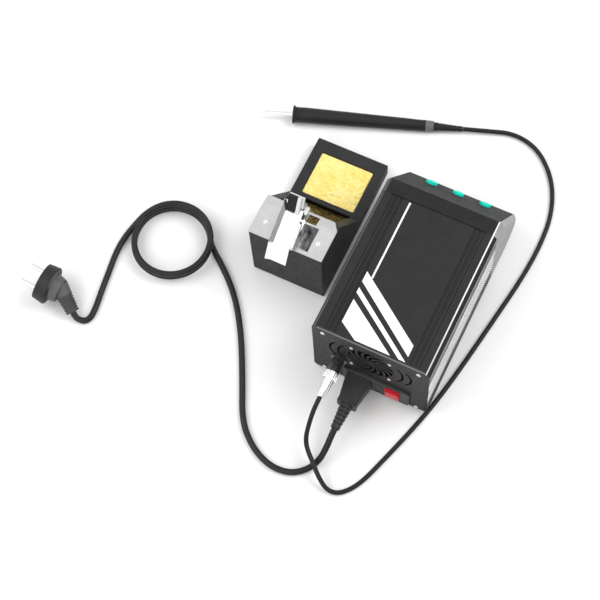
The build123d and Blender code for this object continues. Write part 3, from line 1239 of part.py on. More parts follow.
def ridged_relief(start, end, radii, rings, depth):
    """A tapered strain relief between two points, cut by ring grooves."""
    first_radius, last_radius = radii
    way = Vector(*end) - Vector(*start)
    length = way.length
    step = length / (rings + 1)
    with BuildPart() as relief:
        with BuildSketch(Plane(origin=start, x_dir=way, z_dir=way.cross(Vector(0, 0, 1)) * -1)):
            with BuildLine():
                Polyline((0, 0), (0, first_radius), (length, last_radius), (length, 0), close=True)
            make_face()
            for i in range(1, rings + 1):
                radius = first_radius + (last_radius - first_radius) * i / (rings + 1)
                with Locations((step * i, radius)):
                    Rectangle(step * 0.42, 2 * depth, mode=Mode.SUBTRACT)
        revolve(axis=Axis(start, way))
    return relief.part


mains_relief = ridged_relief((INLET_X, connector_end, INLET_Z), POWER_CORD_ROUTE[0], MAINS_RELIEF_RADII, 5, 1.6)
save(mains_relief, "mains_relief")

power_cord_a = cord(POWER_CORD_ROUTE, POWER_CORD_DIAMETER, "power_cord_a")
save(power_cord_a, "power_cord_a")

power_cord_b = cord(PLUG_CORD_ROUTE, POWER_CORD_DIAMETER, "power_cord_b")
save(power_cord_b, "power_cord_b")

COIL_BAND = POWER_CORD_DIAMETER / 2 + 0.4
COIL_ROUND = 2.5
with BuildPart() as cord_loop:
    with BuildSketch():
        with Locations(COIL_CENTRE):
            Circle(COIL_RADIUS + COIL_BAND)
            Circle(COIL_RADIUS - COIL_BAND, mode=Mode.SUBTRACT)
    extrude(amount=COIL_HEIGHT)
    fillet(cord_loop.edges().group_by(Axis.Z)[-1], COIL_ROUND)
save(cord_loop.part, "cord_loop")

# ---------------------------------------------------------------- mains plug
plug_turn = math.radians(PLUG_HEADING)
plug_dip = math.radians(PLUG_PITCH)
plug_way = Vector(math.cos(plug_turn) * math.cos(plug_dip), math.sin(plug_turn) * math.cos(plug_dip),
                  -math.sin(plug_dip))
plug_level = Vector(-math.sin(plug_turn), math.cos(plug_turn), 0)
plug_plane = Plane(origin=PLUG_BACK, x_dir=plug_level, z_dir=plug_way)
PLUG_NECK_RADII = (9.4, 8.4)        # where the neck leaves the hub, and at the relief
PLUG_NECK_LENGTH = 12.0
PLUG_RELIEF_RADII = (8.4, 7.0)
PLUG_RELIEF_LENGTH = 19.0
PLUG_HUB_RADII = (15.0, 12.6)
PLUG_HUB_LENGTH = 9.0
PLUG_ROUND = 2.0
plug_exit = Vector(*PLUG_CORD_ROUTE[-1])
neck_way = (Vector(*PLUG_CORD_ROUTE[-2]) - plug_exit).normalized()
neck_end = plug_exit - neck_way * PLUG_RELIEF_LENGTH
neck_root = neck_end - neck_way * PLUG_NECK_LENGTH

with BuildPart() as mains_plug:
    with BuildSketch(plug_plane):
        Circle(PLUG_DIAMETER / 2)
    with BuildSketch(plug_plane.offset(PLUG_BODY_LENGTH)):
        Circle(PLUG_FACE_DIAMETER / 2)
    loft()
    fillet(mains_plug.edges().group_by(Axis(PLUG_BACK, plug_way))[0], PLUG_ROUND)
    with BuildSketch(plug_plane):
        Circle(PLUG_HUB_RADII[0])
    with BuildSketch(plug_plane.offset(-PLUG_HUB_LENGTH)):
        Circle(PLUG_HUB_RADII[1])
    loft()
    with BuildSketch(Plane(origin=neck_root, z_dir=neck_way)):
        Circle(PLUG_NECK_RADII[0])
    with BuildSketch(Plane(origin=neck_end, z_dir=neck_way)):
        Circle(PLUG_NECK_RADII[1])
    loft()
save(mains_plug.part, "mains_plug")

plug_relief = ridged_relief(tuple(neck_end), PLUG_CORD_ROUTE[-1], PLUG_RELIEF_RADII, 6, 0.9)
save(plug_relief, "plug_relief")

PIN_ROUND = 1.6
with BuildPart() as plug_pins:
    with BuildSketch(plug_plane.offset(PLUG_BODY_LENGTH)):
        with Locations((-PIN_PITCH / 2, 0), (PIN_PITCH / 2, 0)):
            Circle(PIN_DIAMETER / 2)
    extrude(amount=PIN_LENGTH)
    fillet(plug_pins.edges().group_by(Axis(PLUG_BACK, plug_way))[-1], PIN_ROUND)
save(plug_pins.part, "plug_pins")
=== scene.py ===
"""Looks for the soldering iron station: camera, cords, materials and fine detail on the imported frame."""
import math
import random

import bpy
from mathutils import Matrix, Vector, noise


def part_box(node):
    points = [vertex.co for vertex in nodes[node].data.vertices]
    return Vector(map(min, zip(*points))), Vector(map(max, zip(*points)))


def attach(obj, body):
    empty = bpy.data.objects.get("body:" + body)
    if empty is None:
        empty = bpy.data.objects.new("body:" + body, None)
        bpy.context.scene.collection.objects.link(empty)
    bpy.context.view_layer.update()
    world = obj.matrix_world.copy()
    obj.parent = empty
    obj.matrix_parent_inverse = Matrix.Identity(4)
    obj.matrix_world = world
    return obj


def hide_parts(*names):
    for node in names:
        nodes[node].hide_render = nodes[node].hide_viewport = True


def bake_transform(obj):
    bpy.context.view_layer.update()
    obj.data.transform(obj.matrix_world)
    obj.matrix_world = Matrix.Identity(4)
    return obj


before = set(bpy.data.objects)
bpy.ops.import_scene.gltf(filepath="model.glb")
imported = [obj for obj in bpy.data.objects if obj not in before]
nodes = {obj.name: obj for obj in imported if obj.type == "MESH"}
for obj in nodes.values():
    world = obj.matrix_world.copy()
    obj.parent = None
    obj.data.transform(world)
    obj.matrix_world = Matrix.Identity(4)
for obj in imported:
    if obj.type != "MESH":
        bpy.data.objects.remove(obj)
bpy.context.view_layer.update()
scene = bpy.context.scene
MM = 0.001
MM_PER_METRE = 1000.0


def link(obj):
    scene.collection.objects.link(obj)
    return obj


def metres(points):
    return [Vector(point) * MM for point in points]


# ---------------------------------------------------------------- camera
CAMERA_PLACE = (-0.2246, 0.5796, 1.5161)
CAMERA_FORWARD = (0.2006, -0.3339, -0.9210)
CAMERA_UP = (0.3899, -0.8353, 0.3877)
SENSOR_WIDTH = 36.0
CAMERA_LENS = 96.44
forward = Vector(CAMERA_FORWARD).normalized()
right = forward.cross(Vector(CAMERA_UP)).normalized()
up = right.cross(forward)
camera = link(bpy.data.objects.new("camera", bpy.data.cameras.new("camera")))
turn = Matrix((right, up, -forward)).transposed()
camera.matrix_world = Matrix.Translation(CAMERA_PLACE) @ turn.to_4x4()
camera.data.sensor_width = SENSOR_WIDTH
camera.data.lens = CAMERA_LENS
scene.camera = camera

# ---------------------------------------------------------------- cords
IRON_CORD_DIAMETER = 4.7
POWER_CORD_DIAMETER = 6.4
IRON_CORD_ROUTE = [
    (33, 131.3, 50), (33, 141, 50), (33, 151, 43.5), (33, 158.5, 32.5), (32.6, 165.5, 21),
    (28, 173.5, 15.5), (16, 184.5, 15.5), (5, 194.5, 11), (-7, 201.0, 3), (-20, 198, 2.5),
    (-33, 181, 2.5), (-43.5, 149, 2.5), (-55, 112, 2.5), (-66, 70, 2.5), (-74.5, 21, 2.5),
    (-82, -30, 2.5), (-90, -84, 2.5), (-93, -128, 2.5), (-90, -167, 2.5), (-76, -203, 2.5),
    (-49, -231, 2.5), (-18, -238.5, 2.7), (11, -227.2, 4.6), (33.65, -218.95, 5.3)]
POWER_CORD_ROUTE = [
    (10.4, 146, 23), (10.4, 154, 23), (10.4, 165, 17), (12.6, 177, 6.5), (19.6, 190, 3.3),
    (34, 201, 3.3), (55, 202.5, 3.3), (78, 193, 3.3), (100, 173, 3.3), (118, 136, 3.3),
    (142, 91, 3.3), (165, 58, 3.3), (189, 35, 3.3)]
PLUG_CORD_ROUTE = [
    (291, 15, 14.5), (297, 30, 9), (302, 47, 3.6), (301.5, 66, 3.3),
    (298, 86, 3.3), (295, 106, 3.3), (291.6, 124, 3.3), (290.4, 134, 3.3), (290.9, 141, 3.3),
    (294.3, 145.2, 3.3), (299.5, 146.2, 3.3), (304.2, 146.0, 4.9), (308.6, 142.9, 7.8)]
COIL_CENTRE = (252.5, 29.0)
COIL_START = -159.0
COIL_SWEEP = 836.0
COIL_POINTS = 38
COIL_LOW = 3.3
COIL_RISE = 14.6
COIL_RADIUS = 40.2
COIL_WANDER = 0.9
WANDER_RATE = 0.85
WANDER_START = 0.6
CURVE_STEPS = 10
CURVE_ROUNDNESS = 5


def coil_points():
    """The stacked turns of the power cord, each a little different in size."""
    points = []
    for i in range(COIL_POINTS + 1):
        share = i / COIL_POINTS
        angle = math.radians(COIL_START + COIL_SWEEP * share)
        radius = COIL_RADIUS + COIL_WANDER * math.sin(WANDER_RATE * angle + WANDER_START)
        points.append((COIL_CENTRE[0] + radius * math.cos(angle),
                       COIL_CENTRE[1] + radius * math.sin(angle),
                       COIL_LOW + COIL_RISE * share))
    return points


def spline_curve(name, points):
    """A cord's bare line: one open NURBS spline of order 3 that starts and ends on its route."""
    data = bpy.data.curves.new(name, "CURVE")
    data.dimensions = "3D"
    spline = data.splines.new("NURBS")
    spline.points.add(len(points) - 1)
    for spot, point in zip(spline.points, metres(points)):
        spot.co = (*point, 1.0)
    spline.order_u = 3
    spline.use_endpoint_u = True
    data.resolution_u = CURVE_STEPS
    data.bevel_resolution = CURVE_ROUNDNESS
    data.use_fill_caps = True
    return link(bpy.data.objects.new(name, data))


def mesh_of(curve, name):
    """The curve's mesh as an object of its own."""
    mesh = bpy.data.meshes.new_from_object(curve.evaluated_get(bpy.context.evaluated_depsgraph_get()))
    return link(bpy.data.objects.new(name, mesh))


def tube(name, route, diameter):
    """A round cord along its smooth line, and the points of that line."""
    line = spline_curve(name + "_line", route)
    bpy.context.view_layer.update()
    bare = mesh_of(line, name + "_path")
    followed = [vertex.co.copy() for vertex in bare.data.vertices]
    bpy.data.objects.remove(bare)
    line.data.bevel_depth = diameter / 2 * MM
    bpy.context.view_layer.update()
    round_cord = mesh_of(line, name)
    bpy.data.objects.remove(line)
    return round_cord, followed


iron_lead, iron_path = tube("iron_lead", IRON_CORD_ROUTE, IRON_CORD_DIAMETER)
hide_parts("iron_cord")
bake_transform(iron_lead)

power_route = POWER_CORD_ROUTE + coil_points() + PLUG_CORD_ROUTE
power_lead, power_path = tube("power_lead", power_route, POWER_CORD_DIAMETER)
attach(power_lead, "station")
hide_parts("power_cord_a", "power_cord_b", "cord_loop")

# ---------------------------------------------------------------- lamps and world
LAMP_AIM = Vector((0.09, 0.0, 0.03))
LAMPS = {  # place, size in metres, watts
    "key_lamp": ((-0.9, -0.7, 1.7), 1.4, 22.0),
    "fill_lamp": ((1.2, 0.5, 1.6), 1.6, 14.0),
    "back_lamp": ((0.2, 1.6, 1.1), 1.2, 8.0)}
WORLD_LEVEL = 0.62
# the dark screen: for each axis of a direction, where it begins and where it is full
SCREEN_EDGES = (("X", -0.3, -0.7), ("Z", 0.5, 0.2))
SCREEN_LEVEL = 0.04


def lamp(name, place, size, energy):
    """A round area lamp that points at the object."""
    light = bpy.data.lights.new(name, "AREA")
    light.shape = "DISK"
    light.size = size
    light.energy = energy
    obj = link(bpy.data.objects.new(name, light))
    obj.location = place
    obj.rotation_euler = (LAMP_AIM - Vector(place)).to_track_quat("-Z", "Y").to_euler()


for name, (place, size, energy) in LAMPS.items():
    lamp(name, place, size, energy)

world = bpy.data.worlds.new("studio")
scene.world = world
world.use_nodes = True
tree = world.node_tree
tree.nodes.clear()


def world_maths(operation, first, second):
    step = tree.nodes.new("ShaderNodeMath")
    step.operation = operation
    tree.links.new(first, step.inputs[0])
    tree.links.new(second, step.inputs[1])
    return step.outputs[0]


def background(strength):
    step = tree.nodes.new("ShaderNodeBackground")
    step.inputs["Color"].default_value = (1, 1, 1, 1)
    step.inputs["Strength"].default_value = strength
    return step


def world_range(value, **limits):
    step = tree.nodes.new("ShaderNodeMapRange")
    for key, number in limits.items():
        step.inputs[key.replace("_", " ")].default_value = number
    tree.links.new(value, step.inputs["Value"])
    return step.outputs[0]


# the camera, reflections and glass see white; everything else gets the weaker level
ray = tree.nodes.new("ShaderNodeLightPath").outputs
glossy = ray["Is Glossy Ray"]
seen_or_glossy = world_maths("MAXIMUM", ray["Is Camera Ray"], glossy)
direct = world_maths("MAXIMUM", seen_or_glossy, ray["Is Transmission Ray"])
blend_world = tree.nodes.new("ShaderNodeMixShader")
tree.links.new(direct, blend_world.inputs[0])

# a dark screen low on the -X side, which only reflections show
way = tree.nodes.new("ShaderNodeSeparateXYZ")
tree.links.new(tree.nodes.new("ShaderNodeTexCoord").outputs["Generated"], way.inputs[0])
screen = [world_range(way.outputs[axis], From_Min=begins, From_Max=full)
          for axis, begins, full in SCREEN_EDGES]
in_gloss = world_maths("MULTIPLY", world_maths("MULTIPLY", *screen), glossy)
seen = background(1.0)
tree.links.new(world_range(in_gloss, To_Min=1.0, To_Max=SCREEN_LEVEL), seen.inputs["Strength"])
tree.links.new(background(WORLD_LEVEL).outputs[0], blend_world.inputs[1])
tree.links.new(seen.outputs[0], blend_world.inputs[2])
world_out = tree.nodes.new("ShaderNodeOutputWorld")
tree.links.new(blend_world.outputs[0], world_out.inputs[0])
scene.view_settings.view_transform = "Standard"


# ---------------------------------------------------------------- materials
MIDDLE = (0.3, 0.7)         # most of a noise's values lie between these
NOISE_ROUGHNESS = 0.55
EDGE_RANGE = (0.75, 0.98)   # rounded against flat normal: a full edge at the first, flat at the second
METAL_SPREAD = 0.08
METAL_LINE_SIZE = 0.5


class Shade:
    """A node material: one Principled shader and helpers that add procedural detail."""

    def __init__(self, name, **sockets):
        self.material = bpy.data.materials.new(name)
        self.material.use_nodes = True
        self.nodes = self.material.node_tree.nodes
        self.links = self.material.node_tree.links
        self.shader = self.nodes["Principled BSDF"]
        for key, value in sockets.items():
            self.shader.inputs[key.replace("_", " ")].default_value = value
        self.place = self.nodes.new("ShaderNodeTexCoord").outputs["Object"]
        self.bumped = None

    def join(self, source, target):
        self.links.new(source, target)

    def mapped(self, stretch=(1, 1, 1), turned=(0, 0, 0)):
        """Object coordinates, scaled and turned."""
        step = self.nodes.new("ShaderNodeMapping")
        step.inputs["Scale"].default_value = stretch
        step.inputs["Rotation"].default_value = [math.radians(angle) for angle in turned]
        self.join(self.place, step.inputs["Vector"])
        return step.outputs[0]

    def noise(self, size_mm, detail=3.0, stretch=(1, 1, 1)):
        """Noise whose features are about size_mm across."""
        step = self.nodes.new("ShaderNodeTexNoise")
        step.inputs["Scale"].default_value = MM_PER_METRE / size_mm
        step.inputs["Detail"].default_value = detail
        step.inputs["Roughness"].default_value = NOISE_ROUGHNESS
        self.join(self.mapped(stretch), step.inputs["Vector"])
        return step.outputs["Fac"]

    def cells(self, size_mm):
        """The distance to the middle of the nearest of many cells."""
        step = self.nodes.new("ShaderNodeTexVoronoi")
        step.inputs["Scale"].default_value = MM_PER_METRE / size_mm
        self.join(self.mapped(), step.inputs["Vector"])
        return step.outputs["Distance"]

    def ramp(self, value, *stops):
        """Colours by value: (place, colour) stops."""
        step = self.nodes.new("ShaderNodeValToRGB")
        band = step.color_ramp
        while len(band.elements) < len(stops):
            band.elements.new(0.5)
        for element, (spot, colour) in zip(band.elements, stops):
            element.position = spot
            element.color = (*colour, 1.0) if len(colour) == 3 else colour
        self.join(value, step.inputs["Fac"])
        return step.outputs["Color"]

    def between(self, value, low, high, start=0.0, end=1.0):
        """A value from start..end of the input mapped to low..high."""
        step = self.nodes.new("ShaderNodeMapRange")
        for key, number in (("From Min", start), ("From Max", end), ("To Min", low), ("To Max", high)):
            step.inputs[key].default_value = number
        self.join(value, step.inputs["Value"])
        return step.outputs[0]

    def maths(self, operation, first, second):
        step = self.nodes.new("ShaderNodeMath")
        step.operation = operation
        for socket, value in zip(step.inputs, (first, second)):
            if isinstance(value, (int, float)):
                socket.default_value = value
            else:
                self.join(value, socket)
        return step.outputs[0]

    def mixed(self, factor, first, second, kind="MIX"):
        step = self.nodes.new("ShaderNodeMix")
        step.data_type = "RGBA"
        step.blend_type = kind
        for socket, value in ((step.inputs[0], factor), (step.inputs[6], first), (step.inputs[7], second)):
            if isinstance(value, (int, float)):
                socket.default_value = value
            elif isinstance(value, tuple):
                socket.default_value = (*value, 1.0)
            else:
                self.join(value, socket)
        return step.outputs[2]

    def axis(self, name):
        """One object coordinate, in metres."""
        step = self.nodes.new("ShaderNodeSeparateXYZ")
        self.join(self.place, step.inputs[0])
        return step.outputs[name]

    def inside(self, value, low, high):
        """1 between low and high, 0 elsewhere."""
        above = self.maths("GREATER_THAN", value, low)
        return self.maths("MULTIPLY", above, self.maths("LESS_THAN", value, high))

    def edges(self, radius_mm):
        """1 along sharp edges, 0 on flat faces."""
        soft = self.nodes.new("ShaderNodeBevel")
        soft.samples = 4
        soft.inputs["Radius"].default_value = radius_mm * MM
        flat = self.nodes.new("ShaderNodeNewGeometry")
        dot = self.nodes.new("ShaderNodeVectorMath")
        dot.operation = "DOT_PRODUCT"
        self.join(soft.outputs[0], dot.inputs[0])
        self.join(flat.outputs["Normal"], dot.inputs[1])
        return self.between(dot.outputs["Value"], 1.0, 0.0, *EDGE_RANGE)

    def colour(self, source):
        self.tint = source
        self.join(source, self.shader.inputs["Base Color"])
        return self

    def over(self, mask, colour):
        """Another colour where the mask is 1."""
        return self.colour(self.mixed(mask, self.tint, colour))

    def size_of(self, name):
        """The distance from the middle along one axis."""
        return self.maths("ABSOLUTE", self.axis(name), 0.0)

    def zone(self, **limits):
        """1 inside a box given in mm by axis, such as X=(low, high); a small letter takes both sides."""
        mask = None
        for name, (low, high) in limits.items():
            along = self.axis(name) if name.isupper() else self.size_of(name.upper())
            part = self.inside(along, low * MM, high * MM)
            mask = part if mask is None else self.maths("MULTIPLY", mask, part)
        return mask

    def disc(self, x, z, radius):
        """1 within a radius of a line along Y, all in metres."""
        across = self.maths("SUBTRACT", self.axis("X"), x)
        above = self.maths("SUBTRACT", self.axis("Z"), z)
        squares = [self.maths("MULTIPLY", part, part) for part in (across, above)]
        return self.maths("LESS_THAN", self.maths("ADD", *squares), radius * radius)

    def rough(self, source):
        self.join(source, self.shader.inputs["Roughness"])
        return self

    def bump(self, height, distance_mm):
        """Adds a bump on top of those before."""
        step = self.nodes.new("ShaderNodeBump")
        step.inputs["Strength"].default_value = 1.0
        step.inputs["Distance"].default_value = distance_mm * MM
        self.join(height, step.inputs["Height"])
        if self.bumped is not None:
            self.join(self.bumped, step.inputs["Normal"])
        self.bumped = step.outputs[0]
        self.join(self.bumped, self.shader.inputs["Normal"])
        return self


def scaled(colour, factor):
    return tuple(min(1.0, part * factor) for part in colour)


def moulded(name, colour, rough=0.5, grain=0.45, depth=0.05, worn_and_lit=2.2, spread=0.18, worn_and_lit_radius=0.6):
    """Moulded plastic or painted metal: a fine grain, uneven gloss and paler edges, partly rubbed wear and
    partly a painted highlight.
    """
    shade = Shade(name, Specular_IOR_Level=0.25)
    broad = shade.noise(14, 4)
    base = shade.ramp(broad, (0.3, scaled(colour, 1 - spread)), (0.7, scaled(colour, 1 + spread)))
    patches = shade.between(shade.noise(5, 3), 0.35, 1.0, 0.35, 0.65)
    # paler edges: rubbed wear in patches, and a painted highlight along the edges
    rubbed_and_lit_edges = shade.maths("MULTIPLY", shade.edges(worn_and_lit_radius), patches)
    shade.colour(shade.mixed(rubbed_and_lit_edges, base, scaled(colour, worn_and_lit)))
    shade.rough(shade.between(shade.noise(3, 3), rough - 0.08, rough + 0.1, *MIDDLE))
    shade.bump(shade.noise(grain, 2), depth)
    return shade


def metal(name, colour, rough=0.25, lines=(1, 1, 1), depth=0.01):
    """Bare metal with fine lines along one direction and slight stains."""
    shade = Shade(name, Metallic=1.0)
    stains = shade.noise(18, 4)
    streaks = shade.noise(METAL_LINE_SIZE, 3, lines)
    base = shade.ramp(stains, (0.3, scaled(colour, 1 - METAL_SPREAD)),
                      (0.7, scaled(colour, 1 + METAL_SPREAD / 2)))
    shade.colour(shade.mixed(shade.between(streaks, 0.0, 0.5, 0.4, 0.8), base, scaled(colour, 0.86)))
    shade.rough(shade.between(streaks, rough - 0.06, rough + 0.1, *MIDDLE))
    shade.bump(streaks, depth)
    return shade


def paint(names, shade):
    """Gives a material to CAD nodes or pieces."""
    for name in names:
        obj = nodes[name] if name in nodes else bpy.data.objects[name]
        obj.data.materials.clear()
        obj.data.materials.append(shade.material)


CHARCOAL = (0.014, 0.014, 0.0145)
SHADE_BLACK = (0.002, 0.002, 0.002)
SEAM_SHADE_GREY = (0.04, 0.04, 0.04)
RIGHT_EDGE_HIGHLIGHT = (0.11, 0.11, 0.11)
REAR_EDGE_HIGHLIGHT = (0.13, 0.13, 0.13)
EDGE_HIGHLIGHT_WHITE = (0.95, 0.95, 0.95)
PLUG_BACK_LIT_GREY = (0.10, 0.10, 0.103)

# where painted shade (seams, grooves, the fan grille), painted highlights (lit edges, the plug's back) and
# painted reflections (silver sides, the stand's pocket) go, as boxes in mm
TOP_GROOVE_SHADE = {"x": (38, 56.5), "Z": (104.5, 105.95)}
COVER_SEAM_SHADE = {"x": (0, 50), "Y": (-72, -69.8), "Z": (105, 107)}
COVER_LEFT_EDGE = {"X": (-57.75, -56.5), "Z": (105.3, 107)}
COVER_RIGHT_EDGE = {"X": (58.6, 59.8), "Z": (102.5, 106)}
COVER_REAR_EDGE = {"x": (0, 56.5), "Y": (85.6, 88), "Z": (105.3, 107)}
SILVER_SIDES = {"x": (61.3, 62)}
SIDE_SEAM_SHADE = {"x": (60.4, 61.3), "Z": (66.5, 101)}
REAR_WALL = {"Y": (100, 120)}
BEZEL_SEAM_SHADE = {"x": (0, 50), "Y": (-72, -70), "Z": (105, 107)}
BEZEL_LEFT_EDGE = {"X": (-58, -56.5), "Z": (105.3, 107)}
STAND_POCKET = {"X": (101.9, 118.1), "y": (0, 13.6), "Z": (69, 88.5)}
PLUG_BACK = {"X": (300, 333.5)}
LIT_EDGE_ALONG = (-0.075, 0.087)    # metres along Y in which the cover's lit edge fades
SIDE_RISE = (0.018, 0.102)          # foot and top edge of the silver sides, in metres
GRILLE_RADIUS = 24.5 * MM
# greys of the silver sides, from their foot (0) to the top edge (1): a painted reflection of the floor and
# its shadow, in bands by height
SIDE_REFLECTION_TONES = (
    (0.07, 0.01), (0.13, 0.10), (0.19, 0.42), (0.226, 0.74), (0.28, 1.0), (0.38, 0.86),
    (0.45, 0.64), (0.52, 0.58), (0.57, 0.70), (0.64, 1.0), (0.69, 1.0), (0.72, 0.75),
    (0.75, 0.50), (0.78, 0.26), (0.83, 0.10), (0.88, 0.10), (0.93, 0.26), (0.97, 0.36))


def brushed_with_painted_reflection(shade, mask):
    """Silver sides with brushed streaks along them and a painted reflection by height: two bright bands, dark
    near the top and at the foot.
    """
    level = shade.between(shade.axis("Z"), 0.0, 1.0, *SIDE_RISE)
    reflection_tones = shade.ramp(level, *((spot, (grey, grey, grey)) for spot, grey in SIDE_REFLECTION_TONES))
    streak = shade.ramp(shade.noise(1.6, 4, (1, 0.05, 1)),
                        (0.40, (0.42, 0.42, 0.43)), (0.58, (1.0, 1.0, 1.0)))
    return shade.over(mask, shade.mixed(1.0, reflection_tones, streak, "MULTIPLY"))


case_paint = moulded("case_paint", CHARCOAL, 0.5, 0.35, 0.03, 2.6)
# painted shade: black in the grooves between the cover's ribs and in the seam at its front
case_paint.over(case_paint.zone(**TOP_GROOVE_SHADE), SHADE_BLACK)
case_paint.over(case_paint.zone(**COVER_SEAM_SHADE), SHADE_BLACK)
# painted highlights: pale lines along the cover's left, right and rear top edges, the left one fading along Y
edge_light = case_paint.ramp(case_paint.between(case_paint.axis("Y"), 0.0, 1.0, *LIT_EDGE_ALONG),
                             (0.0, EDGE_HIGHLIGHT_WHITE), (0.6, (0.80, 0.80, 0.80)), (1.0, (0.55, 0.55, 0.55)))
case_paint.over(case_paint.zone(**COVER_LEFT_EDGE), edge_light)
case_paint.over(case_paint.zone(**COVER_RIGHT_EDGE), RIGHT_EDGE_HIGHLIGHT)
case_paint.over(case_paint.zone(**COVER_REAR_EDGE), REAR_EDGE_HIGHLIGHT)
# painted reflection: bands of light and dark by height on the silver sides, with brushed streaks
brushed_with_painted_reflection(case_paint, case_paint.zone(**SILVER_SIDES))
# painted shade: dark grey in the seams along the sides
case_paint.over(case_paint.zone(**SIDE_SEAM_SHADE), SEAM_SHADE_GREY)
# painted shade: black on the rear wall within the fan grille's circle
fan_low, fan_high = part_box("fan_frame")
grille_shade = case_paint.disc((fan_low.x + fan_high.x) / 2, (fan_low.z + fan_high.z) / 2, GRILLE_RADIUS)
case_paint.over(case_paint.maths("MULTIPLY", grille_shade, case_paint.zone(**REAR_WALL)), SHADE_BLACK)
panel_print = moulded("panel_print", (0.0135, 0.0135, 0.014), 0.5, 0.25, 0.02, 1.6)
paint(["case_cover", "base_tray", "rear_panel"], case_paint)
paint(["top_panel"], panel_print)
bezel_plastic = moulded("bezel_plastic", (0.016, 0.016, 0.0165), 0.6, 0.5, 0.04)
bezel_plastic.shader.inputs["Specular IOR Level"].default_value = 0.15
# painted shade: black in the seam at the bezel's front; painted highlight: white along its left top edge
bezel_plastic.over(bezel_plastic.zone(**BEZEL_SEAM_SHADE), SHADE_BLACK)
bezel_plastic.over(bezel_plastic.zone(**BEZEL_LEFT_EDGE), EDGE_HIGHLIGHT_WHITE)
paint(["front_bezel"], bezel_plastic)
# one grey for both cheeks, painted darker as shade on the right cheek and paler as light on the left
paint(["cheek_right"], moulded("cheek_grey_shaded", (0.075, 0.075, 0.078), 0.5, 0.5, 0.04, 1.8))
paint(["cheek_left"], moulded("cheek_grey_lit", (0.30, 0.30, 0.31), 0.5, 0.5, 0.04, 2.6))

HATCH_SCALE = 130.0
HATCH_DISTORTION = 2.5
HATCH_TURN = (28, 0, 0)
side_print = Shade("side_print")
hatch = side_print.nodes.new("ShaderNodeTexWave")
hatch.bands_direction = "Y"
hatch.inputs["Scale"].default_value = HATCH_SCALE
hatch.inputs["Distortion"].default_value = HATCH_DISTORTION
hatch.inputs["Detail"].default_value = 2.0
side_print.join(side_print.mapped(turned=HATCH_TURN), hatch.inputs["Vector"])
side_print.colour(side_print.ramp(hatch.outputs["Fac"],
                                  (0.28, (0.26, 0.26, 0.27)), (0.58, (0.84, 0.84, 0.85))))
side_print.rough(side_print.between(side_print.noise(4), 0.3, 0.45, *MIDDLE))
side_print.bump(side_print.noise(0.5), 0.02)
paint(["side_panel_right", "side_panel_left"], side_print)

paint(["feet", "stand_feet", "puller_grip"],
      moulded("foot_rubber", (0.022, 0.022, 0.022), 0.75, 0.3, 0.05, 1.4))
paint(["rear_screws", "fan_screws", "holder_screws", "board_standoffs", "socket_nut"],
      metal("screw_zinc", (0.86, 0.86, 0.84), 0.28, (1, 1, 1), 0.01))
paint(["fan_frame", "fan_rotor"], moulded("fan_plastic", (0.005, 0.005, 0.005), 0.6, 0.4, 0.04, 1.5))
paint(["inlet_housing", "fuse_drawer"], moulded("inlet_plastic", (0.034, 0.036, 0.036), 0.45, 0.4, 0.03, 2.0))
paint(["mains_connector", "mains_relief"],
      moulded("lead_plastic", (0.030, 0.030, 0.031), 0.45, 0.4, 0.04, 2.4))
paint(["plug_relief"], moulded("relief_plastic", (0.055, 0.055, 0.057), 0.5, 0.4, 0.04, 2.0))
paint(["inlet_pins", "plug_pins"], metal("pin_nickel", (0.80, 0.79, 0.77), 0.22))
red = moulded("switch_red", (0.62, 0.018, 0.030), 0.3, 0.6, 0.02, 1.3, 0.1)
red.shader.inputs["Coat Weight"].default_value = 0.4
paint(["rocker_switch"], red)
socket = moulded("socket_plastic", (0.025, 0.025, 0.026), 0.2, 0.3, 0.02, 2.6)
socket.shader.inputs["Specular IOR Level"].default_value = 0.6
paint(["iron_socket"], socket)
paint(["display_board", "button_board", "power_board"],
      moulded("board_green", (0.02, 0.13, 0.06), 0.35, 2.0, 0.03))
paint(["transformer"], moulded("transformer_tape", (0.12, 0.10, 0.05), 0.5, 1.0, 0.05))
paint(["heatsink"], metal("heatsink_aluminium", (0.72, 0.73, 0.75), 0.3, (1, 12, 1), 0.02))
paint(["capacitors"], moulded("capacitor_sleeve", (0.02, 0.03, 0.09), 0.25, 0.8, 0.02))
glass = moulded("window_smoke", (0.013, 0.013, 0.0145), 0.6, 2.0, 0.005, 1.2)
glass.shader.inputs["Specular IOR Level"].default_value = 0.15
paint(["display_window"], glass)
teal = moulded("button_teal", (0.0, 0.74, 0.56), 0.45, 0.5, 0.03, 1.15, 0.06)
paint(["button_1", "button_2", "button_3"], teal)
stand_plastic = moulded("stand_plastic", (0.021, 0.021, 0.022), 0.55, 0.6, 0.06, 2.4)
# painted reflection: grey streaks on the plastic inside the pocket stand in for reflections in polished steel
pocket_reflection = stand_plastic.ramp(stand_plastic.noise(5, 3, (1, 0.4, 0.15)), (0.35, (0.10, 0.10, 0.10)),
                                  (0.50, (0.34, 0.34, 0.34)), (0.65, (0.72, 0.72, 0.72)))
stand_plastic.over(stand_plastic.zone(**STAND_POCKET), pocket_reflection)
paint(["stand_body"], stand_plastic)
paint(["holder_plate"], metal("holder_steel", (0.62, 0.62, 0.62), 0.3, (1, 0.06, 1), 0.008))
paint(["iron_rest"], metal("rest_steel", (0.90, 0.90, 0.90), 0.18, (1, 0.06, 0.06), 0.006))
puller_steel = metal("puller_steel", (0.74, 0.74, 0.73), 0.38, (1, 1, 0.1), 0.01)
puller_steel.shader.inputs["Metallic"].default_value = 0.6
paint(["tip_puller"], puller_steel)
paint(["handle_collar", "handle_grip"],
      moulded("handle_plastic", (0.012, 0.012, 0.013), 0.45, 0.35, 0.03, 2.2))
paint(["handle_ring"], moulded("ring_grey", (0.13, 0.134, 0.138), 0.45, 0.4, 0.03, 1.4))
